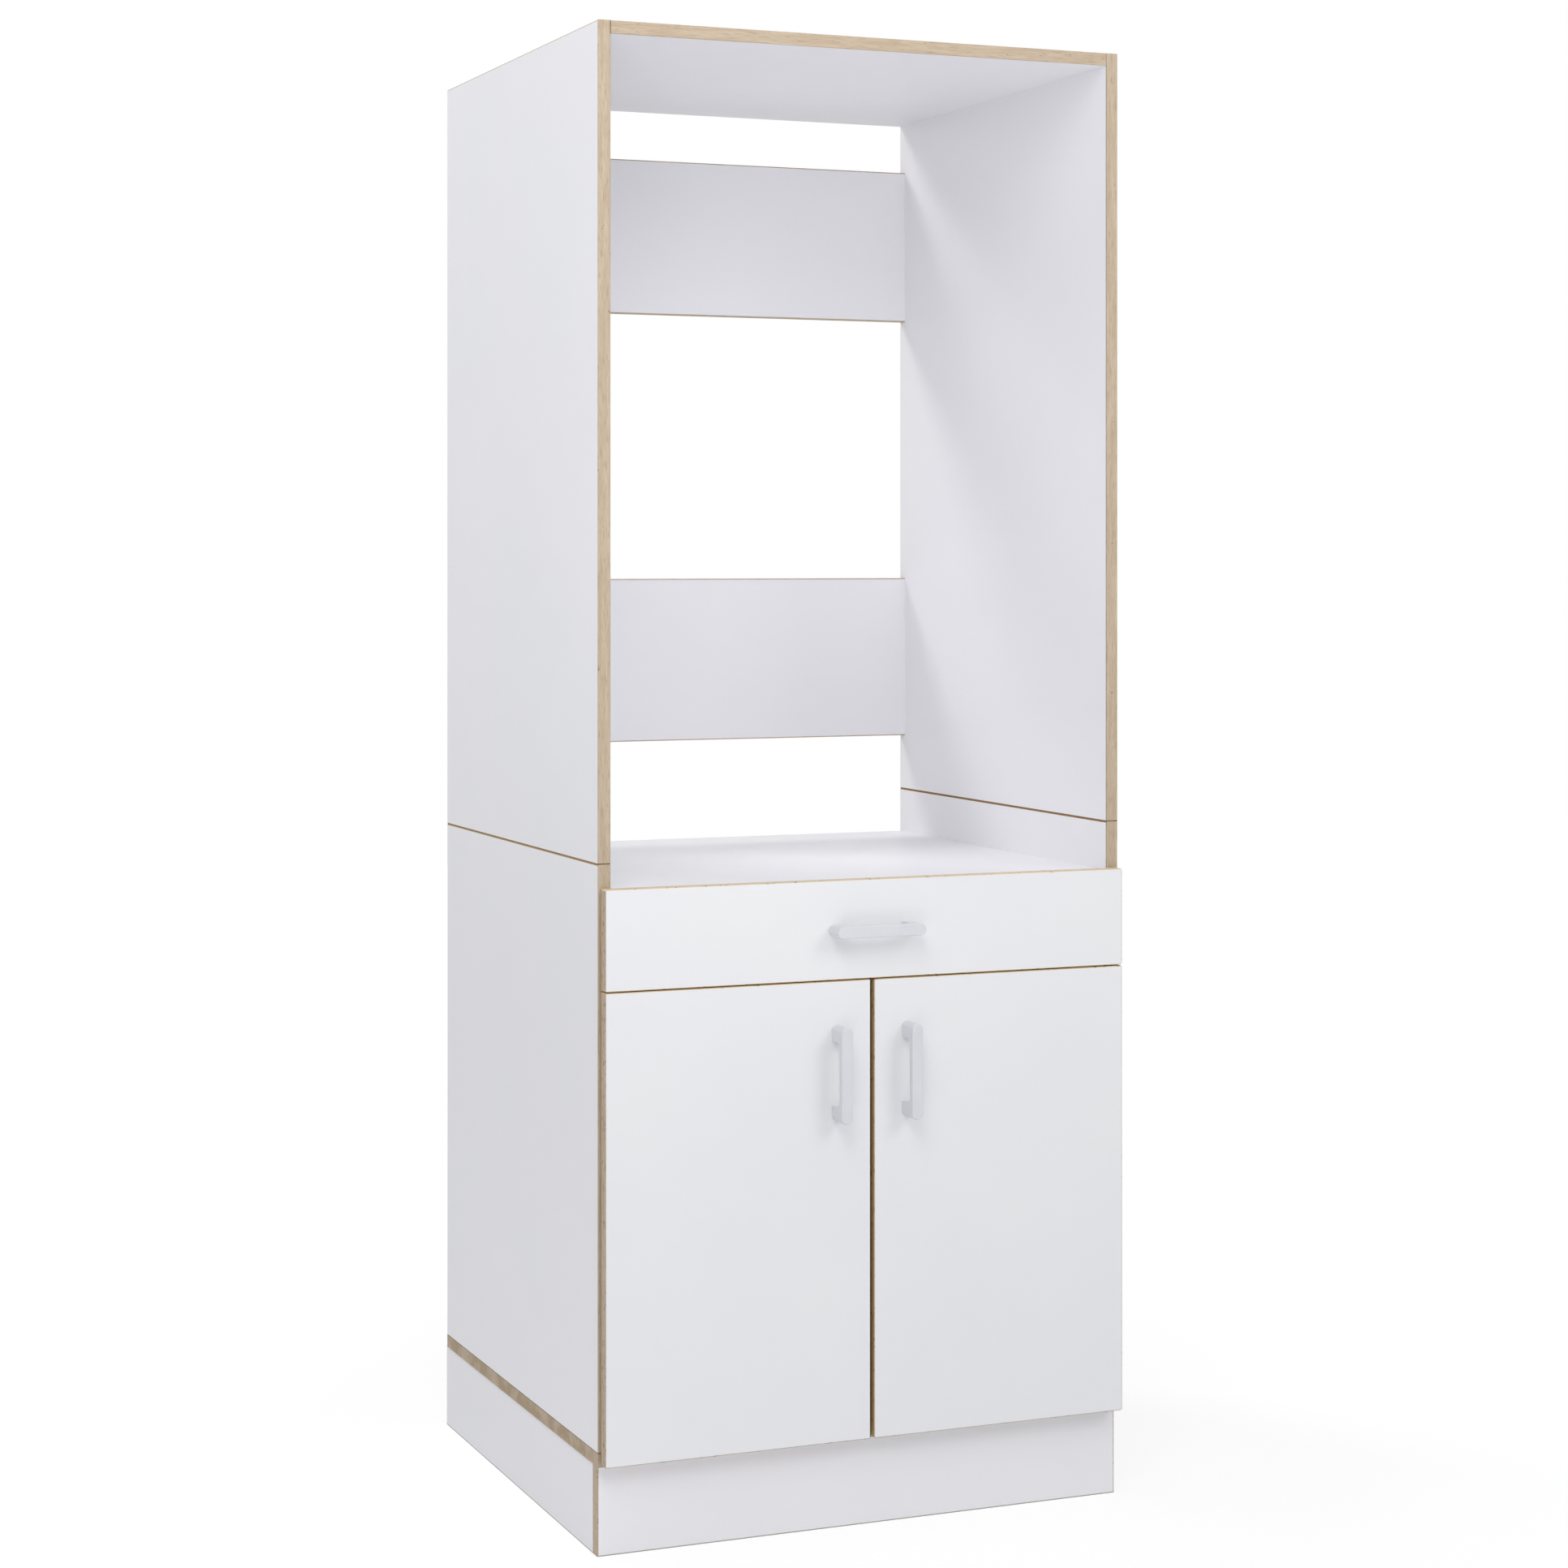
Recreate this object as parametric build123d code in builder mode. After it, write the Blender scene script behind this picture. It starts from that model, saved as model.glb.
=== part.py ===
# A tall washing machine cabinet of white laminated board with light wood edge banding.
# The base unit has a plinth, two doors, a drawer and a platform that the machine stands on.
# The upper unit is open at the front and the back and goes round the machine.
# Millimetres, +Z up, the front faces -Y, and the origin is the middle of the footprint on the floor.

import os

from build123d import *

os.makedirs("parts", exist_ok=True)

# Overall sizes of the carcass
width = 700.0
depth = 635.0
height = 1837.0

# Boards and their banding
board = 16.0
bottom_board = 18.0
front_board = 16.0
drawer_board = 12.0
thin_sheet = 3.0
edge_band = 1.5
band_round = 1.2
band_joint = 0.05

# Heights of the base unit
plinth_height = 108.0
plinth_setback = 7.0
plinth_side_inset = 1.5
platform_height = 796.0
left_lip = 32.0
right_lip = 62.0
bearer_height = 70.0
shelf_height = 262.0
shelf_front_inset = 24.0
shelf_side_gap = 1.0
cross_rail_depth = 80.0

# Back rails of the upper unit
upper_rail_height = 216.0
upper_rail_drop = 85.0
lower_rail_height = 228.0
lower_rail_lift = 140.0

# Fronts
drawer_front_height = 121.9
drawer_front_rise = 3.5
door_lift = 3.5
front_gap = 2.0
front_reveal = 3.0
door_gap = 4.8
row_gap = 1.2
front_band = 1.0
front_band_round = 0.8
front_corner_round = 2.0

# Bow handles
handle_length = 118.0
handle_width = 15.0
handle_reach = 32.0
handle_bar = 8.0
handle_leg = 19.0
handle_edge_round = 1.6
handle_inner_round = 3.5
handle_screw_spacing = 96.0
handle_door_inset = 44.6
handle_door_drop = 112.4

# Machine screws of the handles
handle_screw_radius = 2.0
handle_screw_grip = 10.0
handle_screw_head_radius = 4.0
handle_screw_head = 1.6

# Back sheet and grooves
back_inset = 12.0
groove_depth = 6.0
groove_clearance = 0.1
sheet_end_gap = 0.5

# Wooden dowels of the carcass
dowel_radius = 4.0
dowel_in_face = 11.0
dowel_in_end = 19.0
dowel_margin = 60.0
dowel_spread = 60.0
seam_dowel_half = 15.0
narrow_dowel_spread = 20.0

# Dowels of the drawer
drawer_dowel_radius = 3.0
drawer_dowel_in_face = 8.0
drawer_dowel_in_end = 17.0
drawer_dowel_spread = 24.0

# Cam fittings
cam_radius = 7.4
cam_thickness = 12.0
cam_recess = 0.5
cam_reach = 24.0
cam_margin = 105.0
cam_bolt_radius = 2.5
cam_bolt_in_face = 10.0
cam_bolt_head_radius = 3.2
cam_bolt_head = 4.0
cam_slot_radius = 3.6
cam_drive_length = 9.0
cam_drive_width = 1.6
cam_drive_depth = 1.5

# Screws and the room round every fastener
fastener_clearance = 0.05
fastener_end_gap = 0.5
carcass_screw_radius = 3.2
carcass_screw_head_radius = 4.8
carcass_screw_length = 50.0
carcass_screw_margin = 140.0
small_screw_radius = 1.7
small_screw_head_radius = 3.3
small_screw_head = 1.6
small_screw_length = 14.0
countersink_angle = 90.0
screw_drive_share = 0.65
screw_drive_width = 0.8
screw_drive_depth = 1.1

# Plinth fastening
plinth_dowel_margin = 180.0
plinth_dowel_height = 28.0
plinth_bracket_leg = 30.0
plinth_bracket_height = 60.0
plinth_bracket_sheet = 2.0
plinth_bracket_lift = 24.0
plinth_bracket_screw_inset = 18.0
plinth_bracket_screw_spread = 16.0

# Wall brackets
wall_bracket_spacing = 500.0
wall_bracket_width = 18.0
wall_bracket_sheet = 2.0
wall_bracket_leg = 34.0
wall_bracket_rise = 28.0
wall_bracket_hole_radius = 2.6
wall_bracket_hole_rise = 16.0
wall_bracket_screw_inset = 10.0
wall_bracket_round = 3.0

# Shelf pins
shelf_pin_radius = 2.5
shelf_pin_in_side = 9.0
shelf_pin_out = 9.0
shelf_pin_collar_radius = 4.5
shelf_pin_collar = 1.0
shelf_pin_margin = 70.0
shelf_pin_gap = 0.1

# Buffers behind the fronts
buffer_radius = 3.0
buffer_gap = 0.3
buffer_round = 0.5
buffer_door_inset = 30.0

# Concealed hinges of the doors
hinge_margin = 100.0
pivot_inset = 6.2
cup_radius = 17.5
cup_depth = 12.0
cup_floor = 0.8
cup_edge_distance = 3.0
cup_flange = 1.0
cup_flange_width = 16.0
cup_flange_height = 60.0
cup_flange_round = 6.0
cup_screw_spacing = 48.0
cup_screw_length = 13.0
cup_clearance = 0.05
pocket_front = 2.1
pocket_rear = 27.0
pocket_half = 4.0
pin_radius = 1.0
pin_half = 8.0
pin_clearance = 0.05
eye_radius = 1.8
ear_half = 3.5
ear_low = 2.6
ear_high = 0.8
neck_offset = 10.4
neck_sheet = 2.0
arm_front = 4.0
arm_length = 58.0
arm_half = 6.0
arm_thickness = 6.5
arm_round = 2.0
plate_row = 37.0
plate_half_depth = 12.0
plate_half_height = 26.0
plate_thickness = 2.6
plate_round = 4.0
plate_screw_spacing = 32.0
arm_screw_radius = 2.0
arm_screw_head_radius = 3.6
arm_screw_head = 1.5

# Drawer box
runner_space = 13.0
box_length = 500.0
box_height = 80.0
box_lift = 5.0
sheet_lift = 8.0

# Roller runners
runner_sheet = 1.2
runner_front = 2.0
runner_length = 500.0
channel_depth = 11.0
channel_height = 18.0
channel_drop = 2.0
runner_screw_rise = 6.0
runner_screw_margin = 60.0
runner_web_top = 12.0
drawer_runner_rise = 22.0
drawer_runner_foot = 11.0
drawer_runner_wing = 1.2
drawer_runner_gap = 1.0
roller_width = 6.4
roller_gap = 0.3
roller_side_gap = 0.3
front_roller_radius = 6.0
front_roller_place = 14.0
rear_roller_radius = 8.7
rear_roller_place = 482.0
rear_wing_gap = 12.0
roller_axle_radius = 2.0
roller_bore_clearance = 0.05
axle_head_radius = 3.2
axle_head = 0.6
roller_groove = 0.4
drawer_travel = 380.0
stop_height = 2.5
stop_length = 6.0

# Places worked out from these sizes, across the cabinet
half_width = width / 2
inner_side = half_width - board
plinth_half = half_width - plinth_side_inset
plinth_inner = plinth_half - board
side_middle = half_width - board / 2
front_half = half_width - front_reveal

# Places from front to back
front_reach = front_gap + front_board + handle_reach
total_depth = front_reach + depth + plinth_setback
carcass_front = front_reach - total_depth / 2
carcass_rear = carcass_front + depth
carcass_middle = (carcass_front + carcass_rear) / 2
plinth_front_face = carcass_front + plinth_setback
plinth_rear_face = plinth_front_face + depth
fronts_rear = carcass_front - front_gap
fronts_face = fronts_rear - front_board
rail_middle_y = carcass_rear - board / 2
back_sheet_front = carcass_rear - back_inset
bearer_middle_y = back_sheet_front - board / 2

# Places from the floor up
bottom_top = plinth_height + bottom_board
platform_under = platform_height - board
platform_middle = platform_height - board / 2
left_seam = platform_height + left_lip
right_seam = platform_height + right_lip
top_under = height - board
top_middle = height - board / 2
upper_rail_top = height - upper_rail_drop
upper_rail_bottom = upper_rail_top - upper_rail_height
lower_rail_bottom = platform_height + lower_rail_lift
lower_rail_top = lower_rail_bottom + lower_rail_height
drawer_front_top = platform_height + drawer_front_rise
drawer_front_bottom = drawer_front_top - drawer_front_height
drawer_front_middle = (drawer_front_top + drawer_front_bottom) / 2
door_top = drawer_front_bottom - row_gap
door_bottom = plinth_height + door_lift
cross_rail_middle = drawer_front_bottom - row_gap / 2
cross_rail_top = cross_rail_middle + board / 2
cross_rail_bottom = cross_rail_middle - board / 2
bearer_bottom = platform_under - bearer_height
bearer_middle = platform_under - bearer_height / 2
shelf_bottom = bottom_top + shelf_height
shelf_pin_middle = shelf_bottom - shelf_pin_gap - shelf_pin_radius
hinge_heights = (door_bottom + hinge_margin, door_top - hinge_margin)

# Rows of fittings from front to back
dowel_rows = (carcass_front + dowel_margin, carcass_middle, carcass_rear - dowel_margin)
cam_rows = (carcass_front + cam_margin, carcass_rear - cam_margin)
carcass_screw_rows = (carcass_front + carcass_screw_margin, carcass_rear - carcass_screw_margin)
plinth_dowel_rows = (carcass_front + plinth_dowel_margin, carcass_rear - plinth_dowel_margin)
cross_rail_middle_y = carcass_front + cross_rail_depth / 2
shelf_pin_rows = (carcass_front + shelf_pin_margin, back_sheet_front - shelf_pin_margin)
sides = (-1, 1)


def rectangle(x_start, x_end, y_start, y_end):
    # A rectangle between two opposite corners, in the open sketch
    with Locations(((x_start + x_end) / 2, (y_start + y_end) / 2)):
        Rectangle(abs(x_end - x_start), abs(y_end - y_start))


def drill(planes, radius, bore_depth):
    # Round holes on both sides of each plane, to the same depth
    with Locations(*planes):
        Hole(radius, bore_depth)


def sink(planes, radius, head_radius, bore_depth):
    # Holes with a countersink, opened from the plane downwards
    with Locations(*planes):
        CounterSinkHole(radius, head_radius, bore_depth, counter_sink_angle=countersink_angle)


def pegs(planes, radius, below, above):
    # Round pegs that stand across each plane
    with Locations(*[plane.offset(-below) for plane in planes]):
        Cylinder(radius, below + above, align=(Align.CENTER, Align.CENTER, Align.MIN))


def countersunk_screws(planes, radius, head_radius, length):
    # Screws whose flat heads lie in each plane, with a cross recess
    from_top = (Align.CENTER, Align.CENTER, Align.MAX)
    with Locations(*planes):
        Cylinder(radius, length, align=from_top)
        Cone(radius, head_radius, head_radius - radius, align=from_top)
    cut_drives(planes, 2 * head_radius * screw_drive_share, screw_drive_width, screw_drive_depth)


def pan_screws(planes, radius, head_radius, head, length):
    # Screws whose raised heads stand on each plane, with a cross recess
    pegs(planes, radius, length, 0)
    pegs(planes, head_radius, 0, head)
    drive_planes = [plane.offset(head) for plane in planes]
    cut_drives(drive_planes, 2 * head_radius * screw_drive_share, screw_drive_width, screw_drive_depth)


def cut_drives(planes, drive_length, drive_width, drive_depth):
    # Cross recesses for a driver, cut down from each plane
    with Locations(*planes):
        Box(drive_length, drive_width, 2 * drive_depth, mode=Mode.SUBTRACT)
        Box(drive_width, drive_length, 2 * drive_depth, mode=Mode.SUBTRACT)


def cam_fitting(middle, inward, towards_face):
    # The joint plane of a cam bolt, and the plane of the board's face over its cam
    joint = Plane(origin=middle, z_dir=inward)
    centre = Vector(middle) + Vector(inward) * cam_reach + Vector(towards_face) * (board / 2)
    return joint, Plane(origin=centre, z_dir=towards_face)


def edge_strips(plane, thickness, outline, core, long_round=band_round, corner_round=None):
    # Banding strips between a board's outline and its core, with their long corners rounded.
    # Outline and core are low and high places along the plane's two directions.
    x_low, x_high, y_low, y_high = outline
    core_x_low, core_x_high, core_y_low, core_y_high = core
    regions = (
        (x_low, core_x_low, y_low, y_high),
        (core_x_high, x_high, y_low, y_high),
        (core_x_low + band_joint, core_x_high - band_joint, y_low, core_y_low),
        (core_x_low + band_joint, core_x_high - band_joint, core_y_high, y_high),
    )

    def is_banded_corner(edge):
        spot = plane.to_local_coords(edge.center())
        on_face = min(spot.Z, thickness - spot.Z) < band_joint
        on_x = (core_x_low > x_low and spot.X < x_low + band_joint) or (
            core_x_high < x_high and spot.X > x_high - band_joint
        )
        on_y = (core_y_low > y_low and spot.Y < y_low + band_joint) or (
            core_y_high < y_high and spot.Y > y_high - band_joint
        )
        return on_face and (on_x or on_y)

    with BuildPart() as blank:
        with BuildSketch(plane):
            rectangle(*outline)
        extrude(amount=thickness)
        if corner_round:
            fillet(blank.edges().filter_by(Axis(plane.origin, plane.z_dir)), corner_round)
        fillet(blank.edges().filter_by(is_banded_corner), long_round)

    strips = []
    for region in regions:
        if region[0] < region[1] and region[2] < region[3]:
            with BuildPart() as strip:
                with BuildSketch(plane):
                    rectangle(*region)
                extrude(amount=thickness)
                add(blank.part, mode=Mode.INTERSECT)
            strips.append(strip.part)
    return strips


def bow_handle(plane):
    # A bow handle with round ends, standing on the plane with its length along the plane's X
    with BuildPart() as handle:
        with BuildSketch(plane):
            SlotOverall(handle_length, handle_width)
        extrude(amount=handle_reach)
        front_edges = handle.faces().filter_by(plane).sort_by(Axis(plane.origin, plane.z_dir))[-1].edges()
        fillet(front_edges, handle_edge_round)
        with BuildSketch(plane):
            Rectangle(handle_length - 2 * handle_leg, 2 * handle_width)
        extrude(amount=handle_reach - handle_bar, mode=Mode.SUBTRACT)
        across = handle.edges().filter_by(Axis(plane.origin, plane.y_dir))
        under_bar = [
            edge
            for edge in across
            if abs(plane.to_local_coords(edge.center()).Z - (handle_reach - handle_bar)) < band_joint
        ]
        fillet(under_bar, handle_inner_round)
        screw_planes = handle_screw_planes(plane)
        drill(screw_planes, handle_screw_radius + fastener_clearance, handle_screw_grip + fastener_end_gap)
    return handle.part


def handle_screw_planes(plane):
    # The planes of a handle's two screws, on the face that the handle stands on
    spread = plane.x_dir * (handle_screw_spacing / 2)
    return [Plane(origin=plane.origin + spread * side, z_dir=plane.z_dir) for side in sides]


def handle_screws(plane):
    # Pan-headed screws from the back of a front into the handle's legs
    behind = [
        Plane(origin=screw.offset(-front_board).origin, z_dir=-screw.z_dir)
        for screw in handle_screw_planes(plane)
    ]
    shank = front_board + handle_screw_grip
    pan_screws(behind, handle_screw_radius, handle_screw_head_radius, handle_screw_head, shank)


# Joint planes of the dowels. Each faces into the board whose end takes the dowel's longer part.
def end_joints(places):
    # Joints of a cross board's two ends, at places given as depth and height
    return [
        Plane(origin=(side * inner_side, y, z), z_dir=(-side, 0, 0)) for side in sides for y, z in places
    ]


top_dowels = end_joints([(y, top_middle) for y in dowel_rows])
platform_dowels = end_joints([(y, platform_middle) for y in dowel_rows])
upper_rail_middle = (upper_rail_top + upper_rail_bottom) / 2
lower_rail_middle = (lower_rail_top + lower_rail_bottom) / 2
upper_rail_dowels = end_joints([(rail_middle_y, upper_rail_middle + side * dowel_spread) for side in sides])
lower_rail_dowels = end_joints([(rail_middle_y, lower_rail_middle + side * dowel_spread) for side in sides])
cross_rail_dowels = end_joints(
    [(cross_rail_middle_y + side * narrow_dowel_spread, cross_rail_middle) for side in sides]
)
bearer_dowels = end_joints([(bearer_middle_y, bearer_middle + side * narrow_dowel_spread) for side in sides])
foot_dowels = [
    Plane(origin=(side * side_middle, y, bottom_top), z_dir=(0, 0, 1)) for side in sides for y in dowel_rows
]
left_seam_dowels = [Plane(origin=(-side_middle, y, left_seam), z_dir=(0, 0, 1)) for y in dowel_rows]
right_seam_dowels = [Plane(origin=(side_middle, y, right_seam), z_dir=(0, 0, 1)) for y in dowel_rows]
plinth_top_dowels = [
    Plane(origin=(side * (plinth_half - board / 2), y, plinth_height), z_dir=(0, 0, -1))
    for side in sides
    for y in plinth_dowel_rows
]
plinth_dowel_heights = [plinth_height / 2 + side * plinth_dowel_height for side in sides]
plinth_front_dowels = [
    Plane(origin=(side * (plinth_half - board / 2), plinth_front_face + board, z), z_dir=(0, 1, 0))
    for side in sides
    for z in plinth_dowel_heights
]
plinth_back_dowels = [
    Plane(origin=(side * plinth_inner, plinth_rear_face - board / 2, z), z_dir=(-side, 0, 0))
    for side in sides
    for z in plinth_dowel_heights
]

# Cam fittings, each as the bolt's joint plane and the plane over the cam
top_cams = [
    cam_fitting((side * inner_side, y, top_middle), (-side, 0, 0), (0, 0, 1))
    for side in sides
    for y in cam_rows
]
platform_cams = [
    cam_fitting((side * inner_side, y, platform_middle), (-side, 0, 0), (0, 0, -1))
    for side in sides
    for y in cam_rows
]
upper_rail_cams = [
    cam_fitting((side * inner_side, rail_middle_y, upper_rail_middle), (-side, 0, 0), (0, 1, 0))
    for side in sides
]
lower_rail_cams = [
    cam_fitting((side * inner_side, rail_middle_y, lower_rail_middle), (-side, 0, 0), (0, 1, 0))
    for side in sides
]
cross_rail_cams = [
    cam_fitting((side * inner_side, cross_rail_middle_y, cross_rail_middle), (-side, 0, 0), (0, 0, -1))
    for side in sides
]
bearer_cams = [
    cam_fitting((side * inner_side, bearer_middle_y, bearer_middle), (-side, 0, 0), (0, -1, 0))
    for side in sides
]
upper_cams = top_cams + upper_rail_cams + lower_rail_cams
base_cams = platform_cams + cross_rail_cams + bearer_cams

# Planes of the screws, each facing the way that the screw's head looks
carcass_screw_planes = [
    Plane(origin=(side * side_middle, y, plinth_height), z_dir=(0, 0, -1))
    for side in sides
    for y in carcass_screw_rows
]
plate_screw_planes = [
    Plane(
        origin=(
            side * (inner_side - plate_thickness),
            carcass_front + plate_row,
            z + step * plate_screw_spacing / 2,
        ),
        z_dir=(-side, 0, 0),
    )
    for side in sides
    for z in hinge_heights
    for step in sides
]
arm_screw_planes = [
    Plane(
        origin=(side * (inner_side - plate_thickness - arm_thickness), carcass_front + plate_row, z),
        z_dir=(-side, 0, 0),
    )
    for side in sides
    for z in hinge_heights
]
box_bottom = cross_rail_top + box_lift
box_top = box_bottom + box_height
box_half = inner_side - runner_space
box_inner = box_half - drawer_board
box_front = fronts_rear
box_rear = box_front + box_length
sheet_bottom = box_bottom + sheet_lift
sheet_top = sheet_bottom + thin_sheet
channel_floor = box_bottom - channel_drop
channel_ceiling = channel_floor + channel_height
runner_start = carcass_front + runner_front
runner_end = runner_start + runner_length
runner_screw_height = channel_ceiling + runner_sheet + runner_screw_rise
runner_screw_rows = (
    runner_start + runner_screw_margin,
    (runner_start + runner_end) / 2,
    runner_end - runner_screw_margin,
)
runner_screw_planes = [
    Plane(origin=(side * (inner_side - runner_sheet), y, runner_screw_height), z_dir=(-side, 0, 0))
    for side in sides
    for y in runner_screw_rows
]
wall_bracket_places = [side * wall_bracket_spacing / 2 for side in sides]
wall_bracket_front = plinth_rear_face - wall_bracket_leg
wall_bracket_upright = plinth_rear_face - wall_bracket_sheet
wall_bracket_screw_planes = [
    Plane(
        origin=(x, wall_bracket_front + wall_bracket_screw_inset, height + wall_bracket_sheet),
        z_dir=(0, 0, 1),
    )
    for x in wall_bracket_places
]
plinth_bracket_middle = plinth_bracket_lift + plinth_bracket_height / 2
plinth_bracket_screw_planes = []
for side in sides:
    for facing, face in ((1, plinth_front_face + board), (-1, plinth_rear_face - board)):
        for step in sides:
            screw_height = plinth_bracket_middle + step * plinth_bracket_screw_spread
            along_side = face + facing * plinth_bracket_screw_inset
            along_front = side * (plinth_inner - plinth_bracket_screw_inset)
            plinth_bracket_screw_planes.append(
                Plane(
                    origin=(side * (plinth_inner - plinth_bracket_sheet), along_side, screw_height),
                    z_dir=(-side, 0, 0),
                )
            )
            plinth_bracket_screw_planes.append(
                Plane(
                    origin=(along_front, face + facing * plinth_bracket_sheet, screw_height),
                    z_dir=(0, facing, 0),
                )
            )

# Hole sizes that go with the fittings
dowel_hole = dowel_radius + fastener_clearance
dowel_face_bore = dowel_in_face + fastener_end_gap
dowel_end_bore = dowel_in_end + fastener_end_gap
seam_bore = seam_dowel_half + fastener_end_gap
cam_bolt_hole = cam_bolt_radius + fastener_clearance
cam_bolt_bore = cam_bolt_in_face + fastener_end_gap
cam_hole = cam_radius + fastener_clearance
cam_bore = cam_thickness + cam_recess
small_hole = small_screw_radius + fastener_clearance
small_head_hole = small_screw_head_radius + fastener_clearance
small_bore = small_screw_length + fastener_end_gap


def bolt_planes(cams):
    # The joint planes of cam fittings
    return [joint for joint, face in cams]


def cam_planes(cams):
    # The planes over the cams
    return [face for joint, face in cams]


def bore_for_cams(cams):
    # The holes of cam fittings in the board that they draw in
    drill(bolt_planes(cams), cam_slot_radius, cam_reach)
    drill(cam_planes(cams), cam_hole, cam_bore)


# Upper unit
with BuildPart() as upper_left_side:
    with BuildSketch(Plane.YZ.offset(-half_width)):
        rectangle(
            carcass_front + edge_band, carcass_rear - edge_band, left_seam + edge_band, height - edge_band
        )
    extrude(amount=board)
    drill(top_dowels + upper_rail_dowels + lower_rail_dowels, dowel_hole, dowel_face_bore)
    drill(bolt_planes(upper_cams), cam_bolt_hole, cam_bolt_bore)
    drill(left_seam_dowels, dowel_hole, seam_bore)

with BuildPart() as upper_right_side:
    with BuildSketch(Plane.YZ.offset(inner_side)):
        rectangle(
            carcass_front + edge_band, carcass_rear - edge_band, right_seam + edge_band, height - edge_band
        )
    extrude(amount=board)
    drill(top_dowels + upper_rail_dowels + lower_rail_dowels, dowel_hole, dowel_face_bore)
    drill(bolt_planes(upper_cams), cam_bolt_hole, cam_bolt_bore)
    drill(right_seam_dowels, dowel_hole, seam_bore)

with BuildPart() as top_panel:
    with BuildSketch(Plane.XY.offset(top_under)):
        rectangle(-inner_side, inner_side, carcass_front + edge_band, carcass_rear - edge_band)
    extrude(amount=board)
    drill(top_dowels, dowel_hole, dowel_end_bore)
    bore_for_cams(top_cams)
    drill(wall_bracket_screw_planes, small_hole, small_bore)

with BuildPart() as upper_back_rail:
    with BuildSketch(Plane.XZ.offset(-carcass_rear)):
        rectangle(-inner_side, inner_side, upper_rail_bottom + edge_band, upper_rail_top - edge_band)
    extrude(amount=board)
    drill(upper_rail_dowels, dowel_hole, dowel_end_bore)
    bore_for_cams(upper_rail_cams)

with BuildPart() as lower_back_rail:
    with BuildSketch(Plane.XZ.offset(-carcass_rear)):
        rectangle(-inner_side, inner_side, lower_rail_bottom + edge_band, lower_rail_top - edge_band)
    extrude(amount=board)
    drill(lower_rail_dowels, dowel_hole, dowel_end_bore)
    bore_for_cams(lower_rail_cams)

with BuildPart() as upper_unit_edging:
    for side, seam in ((-1, left_seam), (1, right_seam)):
        add(
            edge_strips(
                Plane.YZ.offset(side * side_middle - board / 2),
                board,
                (carcass_front, carcass_rear, seam, height),
                (carcass_front + edge_band, carcass_rear - edge_band, seam + edge_band, height - edge_band),
            )
        )
    add(
        edge_strips(
            Plane.XY.offset(top_under),
            board,
            (-inner_side, inner_side, carcass_front, carcass_rear),
            (-inner_side, inner_side, carcass_front + edge_band, carcass_rear - edge_band),
        )
    )
    for rail_bottom, rail_top in ((upper_rail_bottom, upper_rail_top), (lower_rail_bottom, lower_rail_top)):
        add(
            edge_strips(
                Plane.XZ.offset(-carcass_rear),
                board,
                (-inner_side, inner_side, rail_bottom, rail_top),
                (-inner_side, inner_side, rail_bottom + edge_band, rail_top - edge_band),
            )
        )
    drill(left_seam_dowels + right_seam_dowels, dowel_hole, seam_bore)

# Base unit
base_side_dowels = platform_dowels + cross_rail_dowels + bearer_dowels
shelf_pin_planes = [
    Plane(origin=(side * inner_side, y, shelf_pin_middle), z_dir=(-side, 0, 0))
    for side in sides
    for y in shelf_pin_rows
]


def bore_base_side():
    # The holes and the groove of a base side, the same on both sides
    drill(base_side_dowels, dowel_hole, dowel_face_bore)
    drill(bolt_planes(base_cams), cam_bolt_hole, cam_bolt_bore)
    drill(foot_dowels, dowel_hole, dowel_end_bore)
    drill(
        carcass_screw_planes,
        carcass_screw_radius + fastener_clearance,
        carcass_screw_length + fastener_end_gap,
    )
    drill(plate_screw_planes + runner_screw_planes, small_hole, small_bore)
    drill(shelf_pin_planes, shelf_pin_radius + fastener_clearance, shelf_pin_in_side + fastener_end_gap)
    with BuildSketch(Plane.XY.offset(bottom_top)) as groove:
        rectangle(
            -inner_side - groove_depth,
            inner_side + groove_depth,
            back_sheet_front - groove_clearance,
            back_sheet_front + thin_sheet + groove_clearance,
        )
    extrude(groove.sketch, amount=platform_under - bottom_top, mode=Mode.SUBTRACT)


with BuildPart() as base_left_side:
    with BuildSketch(Plane.YZ.offset(-half_width)):
        rectangle(carcass_front + edge_band, carcass_rear - edge_band, bottom_top, left_seam - edge_band)
    extrude(amount=board)
    bore_base_side()
    drill(left_seam_dowels, dowel_hole, seam_bore)

with BuildPart() as base_right_side:
    with BuildSketch(Plane.YZ.offset(inner_side)):
        rectangle(carcass_front + edge_band, carcass_rear - edge_band, bottom_top, right_seam - edge_band)
    extrude(amount=board)
    bore_base_side()
    drill(right_seam_dowels, dowel_hole, seam_bore)

with BuildPart() as appliance_platform:
    with BuildSketch(Plane.XY.offset(platform_under)):
        rectangle(-inner_side, inner_side, carcass_front + edge_band, carcass_rear - edge_band)
    extrude(amount=board)
    drill(platform_dowels, dowel_hole, dowel_end_bore)
    bore_for_cams(platform_cams)

with BuildPart() as platform_bearer:
    with BuildSketch(Plane.XZ.offset(-back_sheet_front)):
        rectangle(-inner_side, inner_side, bearer_bottom, platform_under)
    extrude(amount=board)
    drill(bearer_dowels, dowel_hole, dowel_end_bore)
    bore_for_cams(bearer_cams)

with BuildPart() as front_cross_rail:
    with BuildSketch(Plane.XY.offset(cross_rail_bottom)):
        rectangle(-inner_side, inner_side, carcass_front + edge_band, carcass_front + cross_rail_depth)
    extrude(amount=board)
    drill(cross_rail_dowels, dowel_hole, dowel_end_bore)
    bore_for_cams(cross_rail_cams)

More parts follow.
